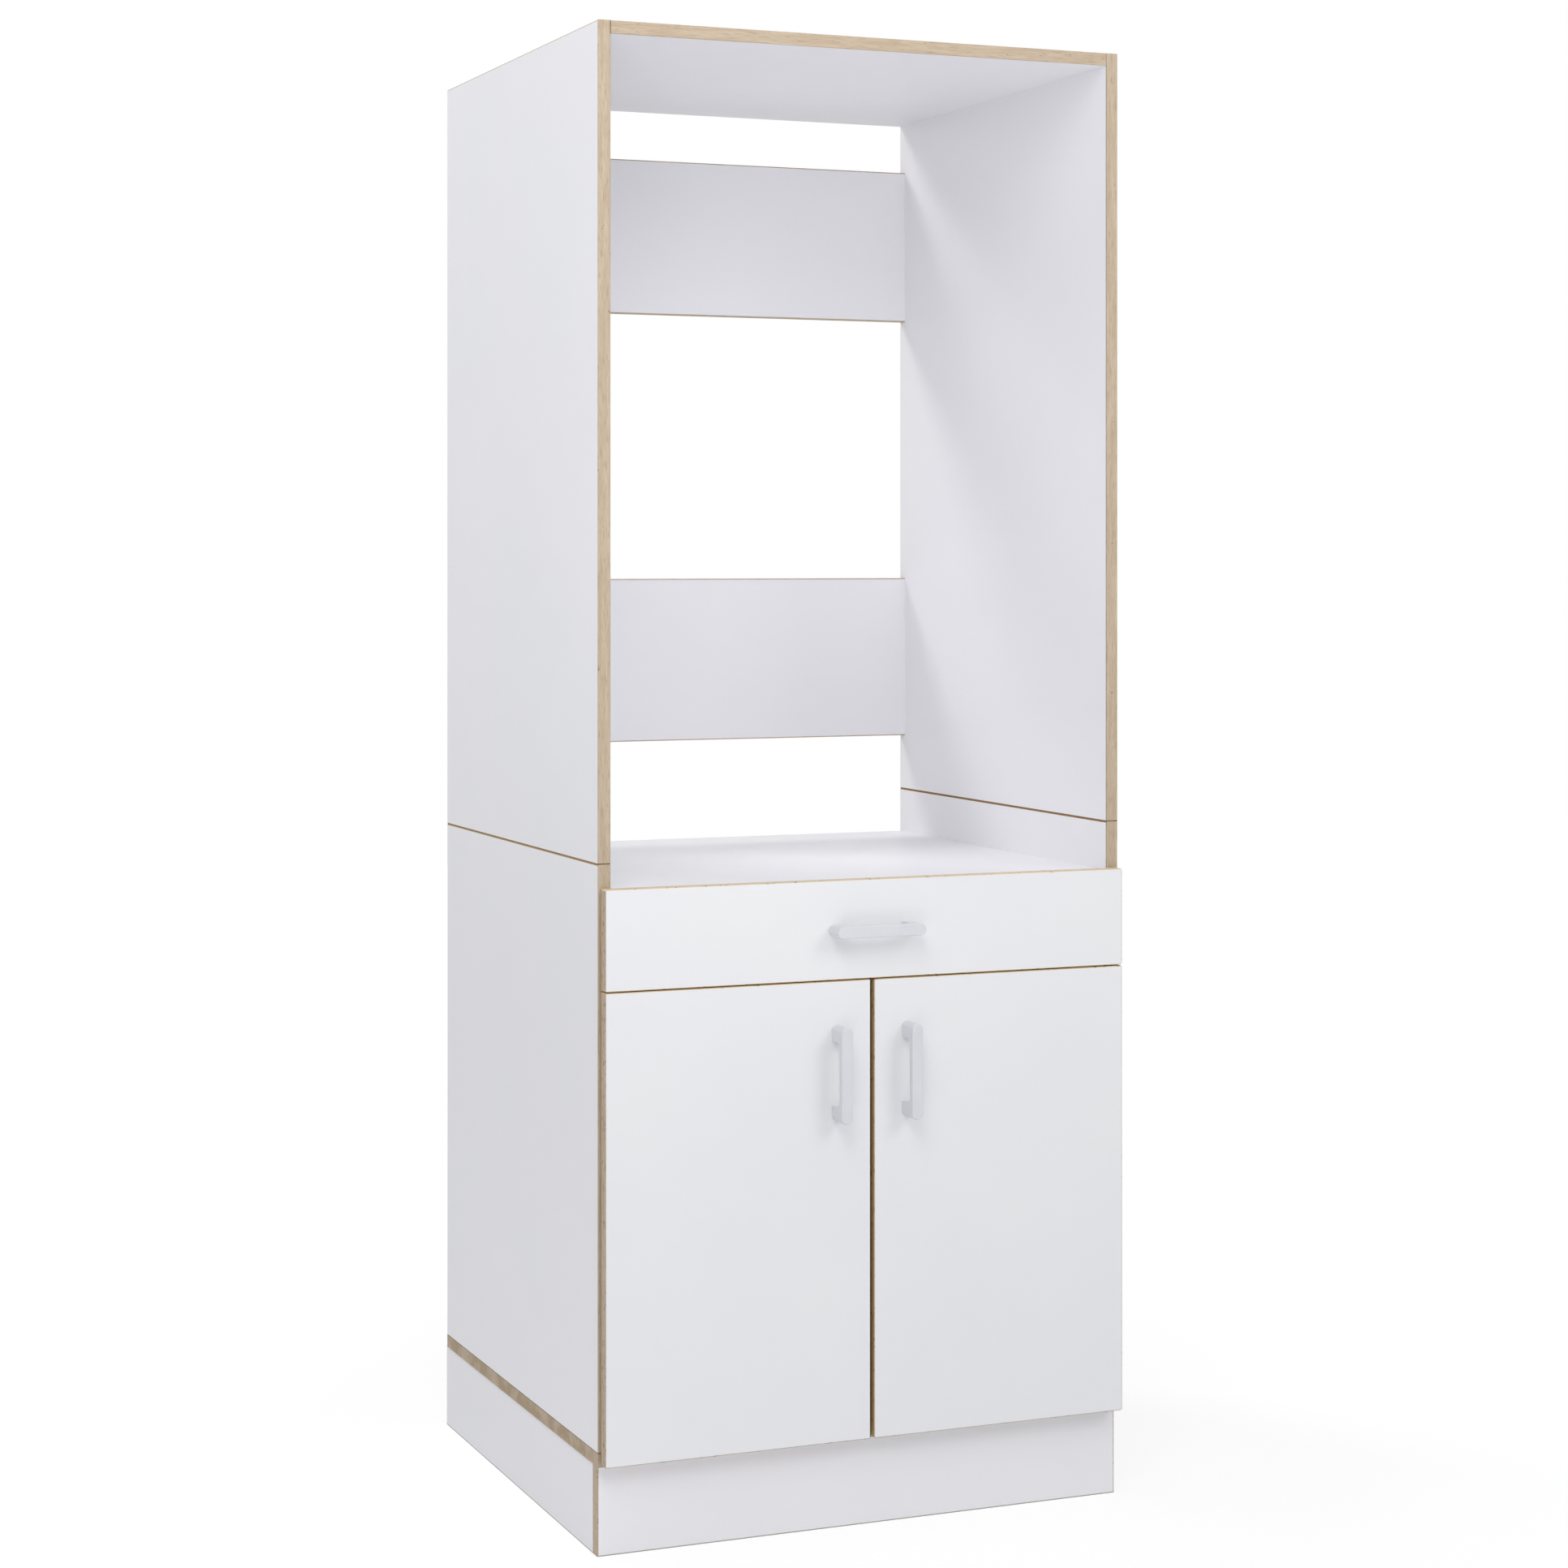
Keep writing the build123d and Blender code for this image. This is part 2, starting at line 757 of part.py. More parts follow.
with BuildPart() as base_unit_edging:
    for side, seam in ((-1, left_seam), (1, right_seam)):
        add(
            edge_strips(
                Plane.YZ.offset(side * side_middle - board / 2),
                board,
                (carcass_front, carcass_rear, bottom_top, seam),
                (carcass_front + edge_band, carcass_rear - edge_band, bottom_top, seam - edge_band),
            )
        )
    add(
        edge_strips(
            Plane.XY.offset(platform_under),
            board,
            (-inner_side, inner_side, carcass_front, carcass_rear),
            (-inner_side, inner_side, carcass_front + edge_band, carcass_rear - edge_band),
        )
    )
    add(
        edge_strips(
            Plane.XY.offset(cross_rail_bottom),
            board,
            (-inner_side, inner_side, carcass_front, carcass_front + cross_rail_depth),
            (-inner_side, inner_side, carcass_front + edge_band, carcass_front + cross_rail_depth),
        )
    )
    shelf_half = inner_side - shelf_side_gap
    shelf_front = carcass_front + shelf_front_inset
    add(
        edge_strips(
            Plane.XY.offset(shelf_bottom),
            board,
            (-shelf_half, shelf_half, shelf_front, back_sheet_front),
            (-shelf_half, shelf_half, shelf_front + edge_band, back_sheet_front),
        )
    )
    drill(left_seam_dowels + right_seam_dowels, dowel_hole, seam_bore)

with BuildPart() as bottom_panel:
    with BuildSketch(Plane.XY.offset(plinth_height)):
        rectangle(
            edge_band - half_width,
            half_width - edge_band,
            carcass_front + edge_band,
            carcass_rear - edge_band,
        )
    extrude(amount=bottom_board)
    drill(foot_dowels, dowel_hole, dowel_face_bore)
    drill(plinth_top_dowels, dowel_hole, dowel_face_bore)
    sink(
        carcass_screw_planes,
        carcass_screw_radius + fastener_clearance,
        carcass_screw_head_radius + fastener_clearance,
        carcass_screw_length,
    )

with BuildPart() as bottom_panel_edging:
    add(
        edge_strips(
            Plane.XY.offset(plinth_height),
            bottom_board,
            (-half_width, half_width, carcass_front, carcass_rear),
            (
                edge_band - half_width,
                half_width - edge_band,
                carcass_front + edge_band,
                carcass_rear - edge_band,
            ),
        )
    )

with BuildPart() as base_back_panel:
    with BuildSketch(Plane.XZ.offset(-back_sheet_front - thin_sheet)):
        sheet_half = inner_side + groove_depth - sheet_end_gap
        rectangle(-sheet_half, sheet_half, bottom_top, platform_under)
    extrude(amount=thin_sheet)

with BuildPart() as cupboard_shelf:
    with BuildSketch(Plane.XY.offset(shelf_bottom)):
        rectangle(-shelf_half, shelf_half, shelf_front + edge_band, back_sheet_front)
    extrude(amount=board)

with BuildPart() as shelf_pins:
    pegs(shelf_pin_planes, shelf_pin_radius, shelf_pin_in_side, shelf_pin_out)
    pegs(shelf_pin_planes, shelf_pin_collar_radius, 0, shelf_pin_collar)
    with BuildSketch(Plane.XY.offset(shelf_bottom - shelf_pin_gap)):
        rectangle(-inner_side, inner_side, carcass_front, carcass_rear)
    extrude(amount=shelf_pin_collar_radius, mode=Mode.SUBTRACT)

# Plinth
with BuildPart() as plinth_front:
    with BuildSketch(Plane.XZ.offset(-plinth_front_face - board)):
        rectangle(edge_band - plinth_half, plinth_half - edge_band, 0, plinth_height)
    extrude(amount=board)
    drill(plinth_front_dowels, dowel_hole, dowel_face_bore)
    drill(plinth_bracket_screw_planes, small_hole, small_bore)

with BuildPart() as plinth_back:
    with BuildSketch(Plane.XZ.offset(-plinth_rear_face)):
        rectangle(-plinth_inner, plinth_inner, 0, plinth_height)
    extrude(amount=board)
    drill(plinth_back_dowels, dowel_hole, dowel_end_bore)
    drill(plinth_bracket_screw_planes, small_hole, small_bore)

with BuildPart() as plinth_left_side:
    with BuildSketch(Plane.YZ.offset(-plinth_half)):
        rectangle(plinth_front_face + board, plinth_rear_face, 0, plinth_height)
    extrude(amount=board)
    drill(plinth_front_dowels + plinth_top_dowels, dowel_hole, dowel_end_bore)
    drill(plinth_back_dowels, dowel_hole, dowel_face_bore)
    drill(plinth_bracket_screw_planes, small_hole, small_bore)

with BuildPart() as plinth_right_side:
    add(plinth_left_side.part.mirror(Plane.YZ))

with BuildPart() as plinth_edging:
    add(
        edge_strips(
            Plane.XZ.offset(-plinth_front_face - board),
            board,
            (-plinth_half, plinth_half, 0, plinth_height),
            (edge_band - plinth_half, plinth_half - edge_band, 0, plinth_height),
        )
    )

with BuildPart() as plinth_corner_brackets:
    with BuildSketch(Plane.XY.offset(plinth_bracket_lift)):
        for side in sides:
            for facing, face in ((1, plinth_front_face + board), (-1, plinth_rear_face - board)):
                corner = side * plinth_inner
                leg_end = corner - side * plinth_bracket_leg
                rectangle(corner, leg_end, face, face + facing * plinth_bracket_sheet)
                sheet_face = corner - side * plinth_bracket_sheet
                rectangle(corner, sheet_face, face, face + facing * plinth_bracket_leg)
    extrude(amount=plinth_bracket_height)
    sink(plinth_bracket_screw_planes, small_hole, small_head_hole, plinth_bracket_sheet + fastener_end_gap)

# Fittings of the carcass
with BuildPart() as wooden_dowels:
    pegs(top_dowels + platform_dowels, dowel_radius, dowel_in_face, dowel_in_end)
    pegs(upper_rail_dowels + lower_rail_dowels, dowel_radius, dowel_in_face, dowel_in_end)
    pegs(cross_rail_dowels + bearer_dowels + foot_dowels, dowel_radius, dowel_in_face, dowel_in_end)
    pegs(plinth_top_dowels, dowel_radius, dowel_in_face, dowel_in_end)
    pegs(plinth_front_dowels + plinth_back_dowels, dowel_radius, dowel_in_face, dowel_in_end)
    pegs(left_seam_dowels + right_seam_dowels, dowel_radius, seam_dowel_half, seam_dowel_half)

with BuildPart() as cam_bolts:
    pegs(bolt_planes(upper_cams + base_cams), cam_bolt_radius, cam_bolt_in_face, cam_reach)
    pegs(
        [plane.offset(cam_reach) for plane in bolt_planes(upper_cams + base_cams)],
        cam_bolt_head_radius,
        cam_bolt_head / 2,
        cam_bolt_head / 2,
    )

with BuildPart() as cam_discs:
    pegs(cam_planes(upper_cams + base_cams), cam_radius, cam_bore, -cam_recess)
    drill(bolt_planes(upper_cams + base_cams), cam_slot_radius, cam_reach + cam_bolt_head)
    cam_faces = [plane.offset(-cam_recess) for plane in cam_planes(upper_cams + base_cams)]
    cut_drives(cam_faces, cam_drive_length, cam_drive_width, cam_drive_depth)

with BuildPart() as carcass_screws:
    countersunk_screws(
        carcass_screw_planes, carcass_screw_radius, carcass_screw_head_radius, carcass_screw_length
    )

with BuildPart() as chipboard_screws:
    countersunk_screws(
        plate_screw_planes + wall_bracket_screw_planes + plinth_bracket_screw_planes,
        small_screw_radius,
        small_screw_head_radius,
        small_screw_length,
    )
    pan_screws(
        runner_screw_planes, small_screw_radius, small_screw_head_radius, small_screw_head, small_screw_length
    )

with BuildPart() as wall_brackets:
    for x in wall_bracket_places:
        with BuildSketch(Plane.YZ.offset(x - wall_bracket_width / 2)):
            rectangle(wall_bracket_front, plinth_rear_face, height, height + wall_bracket_sheet)
            rectangle(wall_bracket_upright, plinth_rear_face, height, height + wall_bracket_rise)
        extrude(amount=wall_bracket_width)
    top_corners = wall_brackets.edges().filter_by(Axis.Y).group_by(Axis.Z)[-1]
    front_corners = wall_brackets.edges().filter_by(Axis.Z).group_by(Axis.Y)[0]
    fillet(top_corners + front_corners, wall_bracket_round)
    sink(wall_bracket_screw_planes, small_hole, small_head_hole, wall_bracket_sheet + fastener_end_gap)
    wall_hole_planes = [
        Plane(origin=(x, plinth_rear_face, height + wall_bracket_hole_rise), z_dir=(0, 1, 0))
        for x in wall_bracket_places
    ]
    drill(wall_hole_planes, wall_bracket_hole_radius, wall_bracket_leg)

with BuildPart() as front_buffers:
    buffer_planes = [
        Plane(origin=(side * buffer_door_inset, carcass_front, z), z_dir=(0, -1, 0))
        for side in sides
        for z in ((cross_rail_bottom + door_top) / 2, (door_bottom + bottom_top) / 2)
    ]
    buffer_planes += [
        Plane(
            origin=(side * (inner_side + front_half) / 2, carcass_front, drawer_front_middle),
            z_dir=(0, -1, 0),
        )
        for side in sides
    ]
    pegs(buffer_planes, buffer_radius, 0, front_gap - buffer_gap)
    fillet(front_buffers.faces().filter_by(Plane.XZ).group_by(Axis.Y)[0].edges(), buffer_round)

# Hinges, made on the left and mirrored
pivot_x = pivot_inset - front_half
pivot_y = fronts_rear - front_board / 2
cup_x = cup_edge_distance + cup_radius - front_half
plate_face = plate_thickness - inner_side
neck_x = pivot_x + neck_offset

with BuildPart() as hinge_plates:
    for z in hinge_heights:
        with BuildSketch(Plane.YZ.offset(-inner_side)):
            with Locations((carcass_front + plate_row, z)):
                RectangleRounded(2 * plate_half_depth, 2 * plate_half_height, plate_round)
        extrude(amount=plate_thickness)
    mirror(about=Plane.YZ)
    sink(plate_screw_planes, small_hole, small_head_hole, plate_thickness + fastener_end_gap)
    drill(arm_screw_planes, arm_screw_radius + fastener_clearance, arm_thickness + plate_thickness)

with BuildPart() as hinge_arms:
    for z in hinge_heights:
        with BuildSketch(Plane.XY.offset(z - ear_half)):
            rectangle(pivot_x, neck_x + neck_sheet, pivot_y - ear_low, pivot_y - ear_high)
            rectangle(neck_x, neck_x + neck_sheet, pivot_y - ear_low, carcass_front + arm_front + neck_sheet)
            with Locations((pivot_x, pivot_y)):
                Circle(eye_radius)
        extrude(amount=2 * ear_half)
        with BuildSketch(Plane.YZ.offset(plate_face)):
            with Locations((carcass_front + arm_front + arm_length / 2, z)):
                RectangleRounded(arm_length, 2 * arm_half, arm_round)
        extrude(amount=arm_thickness)
    pin_planes = [Plane(origin=(pivot_x, pivot_y, z), z_dir=(0, 0, 1)) for z in hinge_heights]
    drill(pin_planes, pin_radius + pin_clearance, 2 * ear_half)
    mirror(about=Plane.YZ)
    drill(arm_screw_planes, arm_screw_radius + fastener_clearance, arm_thickness + plate_thickness)

with BuildPart() as hinge_arm_screws:
    arm_screw_length = arm_thickness + plate_thickness / 2
    pan_screws(arm_screw_planes, arm_screw_radius, arm_screw_head_radius, arm_screw_head, arm_screw_length)

cup_planes = [Plane(origin=(cup_x, fronts_rear, z), x_dir=(1, 0, 0), z_dir=(0, 1, 0)) for z in hinge_heights]
cup_screw_planes = [
    Plane(origin=(cup_x, fronts_rear + cup_flange, z + step * cup_screw_spacing / 2), z_dir=(0, 1, 0))
    for z in hinge_heights
    for step in sides
]

with BuildPart() as left_hinge_cups:
    with BuildSketch(*cup_planes):
        Circle(cup_radius)
    extrude(amount=-cup_depth)
    with BuildSketch(*cup_planes):
        Circle(cup_radius)
        RectangleRounded(cup_flange_width, cup_flange_height, cup_flange_round)
    extrude(amount=cup_flange)
    with BuildSketch(*[plane.offset(cup_floor - cup_depth) for plane in cup_planes]):
        pocket_start = pivot_x - pocket_front - cup_x
        rectangle(pocket_start, pocket_start + pocket_rear, -pocket_half, pocket_half)
    extrude(amount=cup_depth + cup_flange, mode=Mode.SUBTRACT)
    drill(pin_planes, pin_radius + pin_clearance, pin_half + fastener_end_gap)
    pegs(pin_planes, pin_radius, pin_half, pin_half)
    drill(cup_screw_planes, small_hole, cup_flange + fastener_end_gap)

with BuildPart() as right_hinge_cups:
    add(left_hinge_cups.part.mirror(Plane.YZ))

# Doors, the right one mirrored from the left one
door_outer = -front_half
door_inner = -door_gap / 2
handle_height = door_top - handle_door_drop
left_handle_plane = Plane(
    origin=(door_inner - handle_door_inset, fronts_face, handle_height), x_dir=(0, 0, 1), z_dir=(0, -1, 0)
)

with BuildPart() as left_door:
    with BuildSketch(Plane.XZ.offset(-fronts_rear)):
        rectangle(
            door_outer + front_band,
            door_inner - front_band,
            door_bottom + front_band,
            door_top - front_band,
        )
    extrude(amount=front_board)
    drill(cup_planes, cup_radius + cup_clearance, cup_depth + cup_clearance)
    drill(cup_screw_planes, small_hole, cup_screw_length + fastener_end_gap)
    drill(handle_screw_planes(left_handle_plane), handle_screw_radius + fastener_clearance, front_board)

with BuildPart() as left_door_edging:
    add(
        edge_strips(
            Plane.XZ.offset(-fronts_rear),
            front_board,
            (door_outer, door_inner, door_bottom, door_top),
            (
                door_outer + front_band,
                door_inner - front_band,
                door_bottom + front_band,
                door_top - front_band,
            ),
            front_band_round,
            front_corner_round,
        )
    )

with BuildPart() as left_door_handle:
    add(bow_handle(left_handle_plane))

with BuildPart() as left_door_screws:
    handle_screws(left_handle_plane)
    pan_screws(
        cup_screw_planes, small_screw_radius, small_screw_head_radius, small_screw_head, cup_screw_length
    )

with BuildPart() as right_door:
    add(left_door.part.mirror(Plane.YZ))

with BuildPart() as right_door_edging:
    add(left_door_edging.part.mirror(Plane.YZ))

with BuildPart() as right_door_handle:
    add(left_door_handle.part.mirror(Plane.YZ))

with BuildPart() as right_door_screws:
    add(left_door_screws.part.mirror(Plane.YZ))

# Drawer
drawer_handle_plane = Plane(origin=(0, fronts_face, drawer_front_middle), x_dir=(1, 0, 0), z_dir=(0, -1, 0))
drawer_box_middle = (sheet_top + box_top) / 2
drawer_dowel_heights = [drawer_box_middle + step * drawer_dowel_spread / 2 for step in sides]
drawer_front_dowels = [
    Plane(origin=(side * (box_half - drawer_board / 2), box_front, z), z_dir=(0, 1, 0))
    for side in sides
    for z in drawer_dowel_heights
]
drawer_back_dowels = [
    Plane(origin=(side * box_inner, box_rear - drawer_board / 2, z), z_dir=(-side, 0, 0))
    for side in sides
    for z in drawer_dowel_heights
]
drawer_dowel_hole = drawer_dowel_radius + fastener_clearance
drawer_face_bore = drawer_dowel_in_face + fastener_end_gap
drawer_end_bore = drawer_dowel_in_end + fastener_end_gap


def cut_sheet_groove():
    # The groove that the drawer's bottom sheet lies in
    groove_half = box_inner + groove_depth
    with BuildSketch(Plane.XY.offset(sheet_bottom - groove_clearance)) as groove:
        rectangle(-groove_half, groove_half, box_front - groove_depth, box_rear)
    extrude(groove.sketch, amount=thin_sheet + 2 * groove_clearance, mode=Mode.SUBTRACT)


with BuildPart() as drawer_front:
    with BuildSketch(Plane.XZ.offset(-fronts_rear)):
        rectangle(
            front_band - front_half,
            front_half - front_band,
            drawer_front_bottom + front_band,
            drawer_front_top - front_band,
        )
    extrude(amount=front_board)
    cut_sheet_groove()
    drill(drawer_front_dowels, drawer_dowel_hole, drawer_face_bore)
    drill(handle_screw_planes(drawer_handle_plane), handle_screw_radius + fastener_clearance, front_board)

with BuildPart() as drawer_front_edging:
    add(
        edge_strips(
            Plane.XZ.offset(-fronts_rear),
            front_board,
            (-front_half, front_half, drawer_front_bottom, drawer_front_top),
            (
                front_band - front_half,
                front_half - front_band,
                drawer_front_bottom + front_band,
                drawer_front_top - front_band,
            ),
            front_band_round,
            front_corner_round,
        )
    )

with BuildPart() as drawer_handle:
    add(bow_handle(drawer_handle_plane))

with BuildPart() as drawer_handle_screws:
    handle_screws(drawer_handle_plane)

with BuildPart() as drawer_left_side:
    with BuildSketch(Plane.YZ.offset(-box_half)):
        rectangle(box_front, box_rear, box_bottom, box_top)
    extrude(amount=drawer_board)
    cut_sheet_groove()
    drill(drawer_front_dowels, drawer_dowel_hole, drawer_end_bore)
    drill(drawer_back_dowels, drawer_dowel_hole, drawer_face_bore)

with BuildPart() as drawer_right_side:
    add(drawer_left_side.part.mirror(Plane.YZ))

with BuildPart() as drawer_back:
    with BuildSketch(Plane.XZ.offset(-box_rear)):
        rectangle(-box_inner, box_inner, sheet_top, box_top)
    extrude(amount=drawer_board)
    drill(drawer_back_dowels, drawer_dowel_hole, drawer_end_bore)

with BuildPart() as drawer_bottom:
    with BuildSketch(Plane.XY.offset(sheet_bottom)):
        tongue = groove_depth - sheet_end_gap
        rectangle(-box_inner - tongue, box_inner + tongue, box_front - tongue, box_rear)
    extrude(amount=thin_sheet)

with BuildPart() as drawer_dowels:
    pegs(
        drawer_front_dowels + drawer_back_dowels,
        drawer_dowel_radius,
        drawer_dowel_in_face,
        drawer_dowel_in_end,
    )

# Roller runners, made on the left and mirrored
web_face = runner_sheet - inner_side
channel_edge = channel_depth - inner_side
front_roller_y = carcass_front + front_roller_place
front_roller_z = channel_floor + roller_gap + front_roller_radius
wing_bottom = front_roller_z + front_roller_radius + roller_gap
rear_roller_y = carcass_front + rear_roller_place
rear_roller_z = channel_floor + channel_height / 2
stop_rear = rear_roller_y - drawer_travel - rear_roller_radius - roller_gap
drawer_web_face = -box_half - runner_sheet
front_axle = Plane(origin=(web_face, front_roller_y, front_roller_z), z_dir=(1, 0, 0))
rear_axle = Plane(origin=(drawer_web_face, rear_roller_y, rear_roller_z), z_dir=(-1, 0, 0))
front_axle_length = roller_side_gap + roller_width + roller_side_gap + axle_head
rear_axle_length = front_axle_length

with BuildPart() as left_cabinet_runner:
    with BuildSketch(Plane.XZ.offset(-runner_end)):
        rectangle(-inner_side, web_face, channel_floor - runner_sheet, channel_ceiling + runner_web_top)
        rectangle(-inner_side, channel_edge, channel_floor - runner_sheet, channel_floor)
        rectangle(-inner_side, channel_edge, channel_ceiling, channel_ceiling + runner_sheet)
    extrude(amount=runner_length)
    with BuildSketch(Plane.XY.offset(channel_floor)):
        rectangle(web_face, channel_edge, stop_rear - stop_length, stop_rear)
    extrude(amount=stop_height)
    pegs([front_axle], roller_axle_radius, 0, front_axle_length)
    pegs([front_axle.offset(front_axle_length - axle_head)], axle_head_radius, 0, axle_head)
    drill(runner_screw_planes, small_hole, runner_sheet + fastener_end_gap)

with BuildPart() as right_cabinet_runner:
    add(left_cabinet_runner.part.mirror(Plane.YZ))

with BuildPart() as left_drawer_runner:
    with BuildSketch(Plane.XZ.offset(-box_rear)):
        rectangle(drawer_web_face, -box_half, box_bottom - runner_sheet, box_bottom + drawer_runner_rise)
        rectangle(drawer_web_face, drawer_runner_foot - box_half, box_bottom - runner_sheet, box_bottom)
    extrude(amount=box_rear - runner_start)
    with BuildSketch(Plane.XY.offset(wing_bottom)):
        rectangle(web_face + drawer_runner_gap, drawer_web_face, runner_start, rear_roller_y - rear_wing_gap)
    extrude(amount=drawer_runner_wing)
    pegs([rear_axle], roller_axle_radius, 0, rear_axle_length)
    pegs([rear_axle.offset(rear_axle_length - axle_head)], axle_head_radius, 0, axle_head)

with BuildPart() as right_drawer_runner:
    add(left_drawer_runner.part.mirror(Plane.YZ))


def roller(axle, radius):
    # A roller on its axle plane, with a shallow groove round its side
    with BuildPart() as wheel:
        pegs([axle.offset(roller_side_gap)], radius, 0, roller_width)
        wheel_rims = wheel.edges().filter_by(GeomType.CIRCLE)
        chamfer(wheel_rims, roller_groove)
        drill([axle], roller_axle_radius + roller_bore_clearance, 2 * roller_width)
    return wheel.part


with BuildPart() as left_front_roller:
    add(roller(front_axle, front_roller_radius))

with BuildPart() as right_front_roller:
    add(left_front_roller.part.mirror(Plane.YZ))

with BuildPart() as left_rear_roller:
    add(roller(rear_axle, rear_roller_radius))

with BuildPart() as right_rear_roller:
    add(left_rear_roller.part.mirror(Plane.YZ))

# Every piece under its own name
pieces = {
    "upper_left_side": upper_left_side,
    "upper_right_side": upper_right_side,
    "top_panel": top_panel,
    "upper_back_rail": upper_back_rail,
    "lower_back_rail": lower_back_rail,
    "upper_unit_edging": upper_unit_edging,
    "base_left_side": base_left_side,
    "base_right_side": base_right_side,
    "appliance_platform": appliance_platform,
    "platform_bearer": platform_bearer,
    "front_cross_rail": front_cross_rail,
    "base_unit_edging": base_unit_edging,
    "bottom_panel": bottom_panel,
    "bottom_panel_edging": bottom_panel_edging,
    "base_back_panel": base_back_panel,
    "cupboard_shelf": cupboard_shelf,
    "shelf_pins": shelf_pins,
    "plinth_front": plinth_front,
    "plinth_back": plinth_back,
    "plinth_left_side": plinth_left_side,
    "plinth_right_side": plinth_right_side,
    "plinth_edging": plinth_edging,
    "plinth_corner_brackets": plinth_corner_brackets,
    "wooden_dowels": wooden_dowels,
    "cam_bolts": cam_bolts,
    "cam_discs": cam_discs,
    "carcass_screws": carcass_screws,
    "chipboard_screws": chipboard_screws,
    "wall_brackets": wall_brackets,
    "front_buffers": front_buffers,
    "hinge_plates": hinge_plates,
    "hinge_arms": hinge_arms,
    "hinge_arm_screws": hinge_arm_screws,
    "left_hinge_cups": left_hinge_cups,
    "right_hinge_cups": right_hinge_cups,
    "left_door": left_door,
    "left_door_edging": left_door_edging,
    "left_door_handle": left_door_handle,
    "left_door_screws": left_door_screws,
    "right_door": right_door,
    "right_door_edging": right_door_edging,
    "right_door_handle": right_door_handle,
    "right_door_screws": right_door_screws,
    "drawer_front": drawer_front,
    "drawer_front_edging": drawer_front_edging,
    "drawer_handle": drawer_handle,
    "drawer_handle_screws": drawer_handle_screws,
    "drawer_left_side": drawer_left_side,
    "drawer_right_side": drawer_right_side,
    "drawer_back": drawer_back,
    "drawer_bottom": drawer_bottom,
    "drawer_dowels": drawer_dowels,
    "left_cabinet_runner": left_cabinet_runner,
    "right_cabinet_runner": right_cabinet_runner,
    "left_drawer_runner": left_drawer_runner,
    "right_drawer_runner": right_drawer_runner,
    "left_front_roller": left_front_roller,
    "right_front_roller": right_front_roller,
    "left_rear_roller": left_rear_roller,
    "right_rear_roller": right_rear_roller,
}
for name, piece in pieces.items():
    piece.part.label = name
    export_step(piece.part, f"parts/{name}.step")
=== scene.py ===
import math

import bpy
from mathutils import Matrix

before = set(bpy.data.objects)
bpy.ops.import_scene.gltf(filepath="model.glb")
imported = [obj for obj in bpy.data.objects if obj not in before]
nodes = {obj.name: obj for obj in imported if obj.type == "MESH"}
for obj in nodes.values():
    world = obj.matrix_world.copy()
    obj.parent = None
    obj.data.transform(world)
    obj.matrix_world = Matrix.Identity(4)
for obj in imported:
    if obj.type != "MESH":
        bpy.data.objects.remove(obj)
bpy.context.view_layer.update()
print("cabinet: frame loaded,", len(nodes), "pieces")

mm = 0.001
imageSize = 1932  # pixels, the photograph is square
softDetail = 2.0  # few octaves of noise, for soft patches
fullDetail = 3.0  # more octaves, for patterns with finer edges
noiseRoughness = 0.55  # how much the finer octaves count
middleLevels = (0.3, 0.7)  # where most of a noise's values lie
halfTurned = 0.5  # a normal's share of an axis above which a face counts as facing along it


# helpers

def hexColour(code):
    # sRGB hex to the linear colour that Blender's sockets take
    channels = [int(code[i:i + 2], 16) / 255 for i in (0, 2, 4)]
    linear = [c / 12.92 if c <= 0.04045 else ((c + 0.055) / 1.055) ** 2.4 for c in channels]
    return (*linear, 1.0)


def feed(tree, socket, value):
    # a hex colour, number or vector sets the socket's own value
    # another node's output is linked, and where the whole node is given, the first output that it uses
    if isinstance(value, bpy.types.Node):
        value = next(output for output in value.outputs if output.enabled)
    if isinstance(value, bpy.types.NodeSocket):
        tree.links.new(value, socket)
    elif isinstance(value, str):
        socket.default_value = hexColour(value)
    else:
        socket.default_value = value


def addNode(tree, kind, inputs=(), **settings):
    # a node with its settings, and its inputs by name, or in the order of the sockets that it uses
    node = tree.nodes.new("ShaderNode" + kind)
    for key, value in settings.items():
        setattr(node, key, value)
    if isinstance(inputs, dict):
        pairs = [(node.inputs[name], value) for name, value in inputs.items()]
    else:
        pairs = zip([socket for socket in node.inputs if socket.enabled], inputs)
    for socket, value in pairs:
        feed(tree, socket, value)
    return node


def newMaterial(name):
    # a material with only a principled shader, and its output node
    material = bpy.data.materials.new(name)
    material.use_nodes = True
    tree = material.node_tree
    tree.nodes.clear()
    shader = addNode(tree, "BsdfPrincipled")
    output = addNode(tree, "OutputMaterial", {"Surface": shader})
    return material, tree, shader, output


def millimetrePlace(tree):
    # the place on the piece in millimetres, and the way its surface faces
    coordinates = addNode(tree, "TexCoord")
    metresAndScale = (coordinates.outputs["Object"], (1 / mm, 1 / mm, 1 / mm))
    place = addNode(tree, "VectorMath", metresAndScale, operation="MULTIPLY")
    return place, coordinates.outputs["Normal"]


def patches(tree, place, size, levels, ends=(0.0, 1.0), detail=fullDetail):
    # patches about that many millimetres wide, fading from one end to the other between two noise levels
    look = {"Vector": place, "Scale": 1 / size, "Detail": detail, "Roughness": noiseRoughness}
    return addNode(tree, "MapRange", (addNode(tree, "TexNoise", look), *levels, *ends))


def facesAlong(tree, share, limit=halfTurned):
    # 1 where the surface faces along an axis, either way, from its normal's share of that axis
    turned = addNode(tree, "Math", (share,), operation="ABSOLUTE")
    return addNode(tree, "Math", (turned, limit), operation="GREATER_THAN")


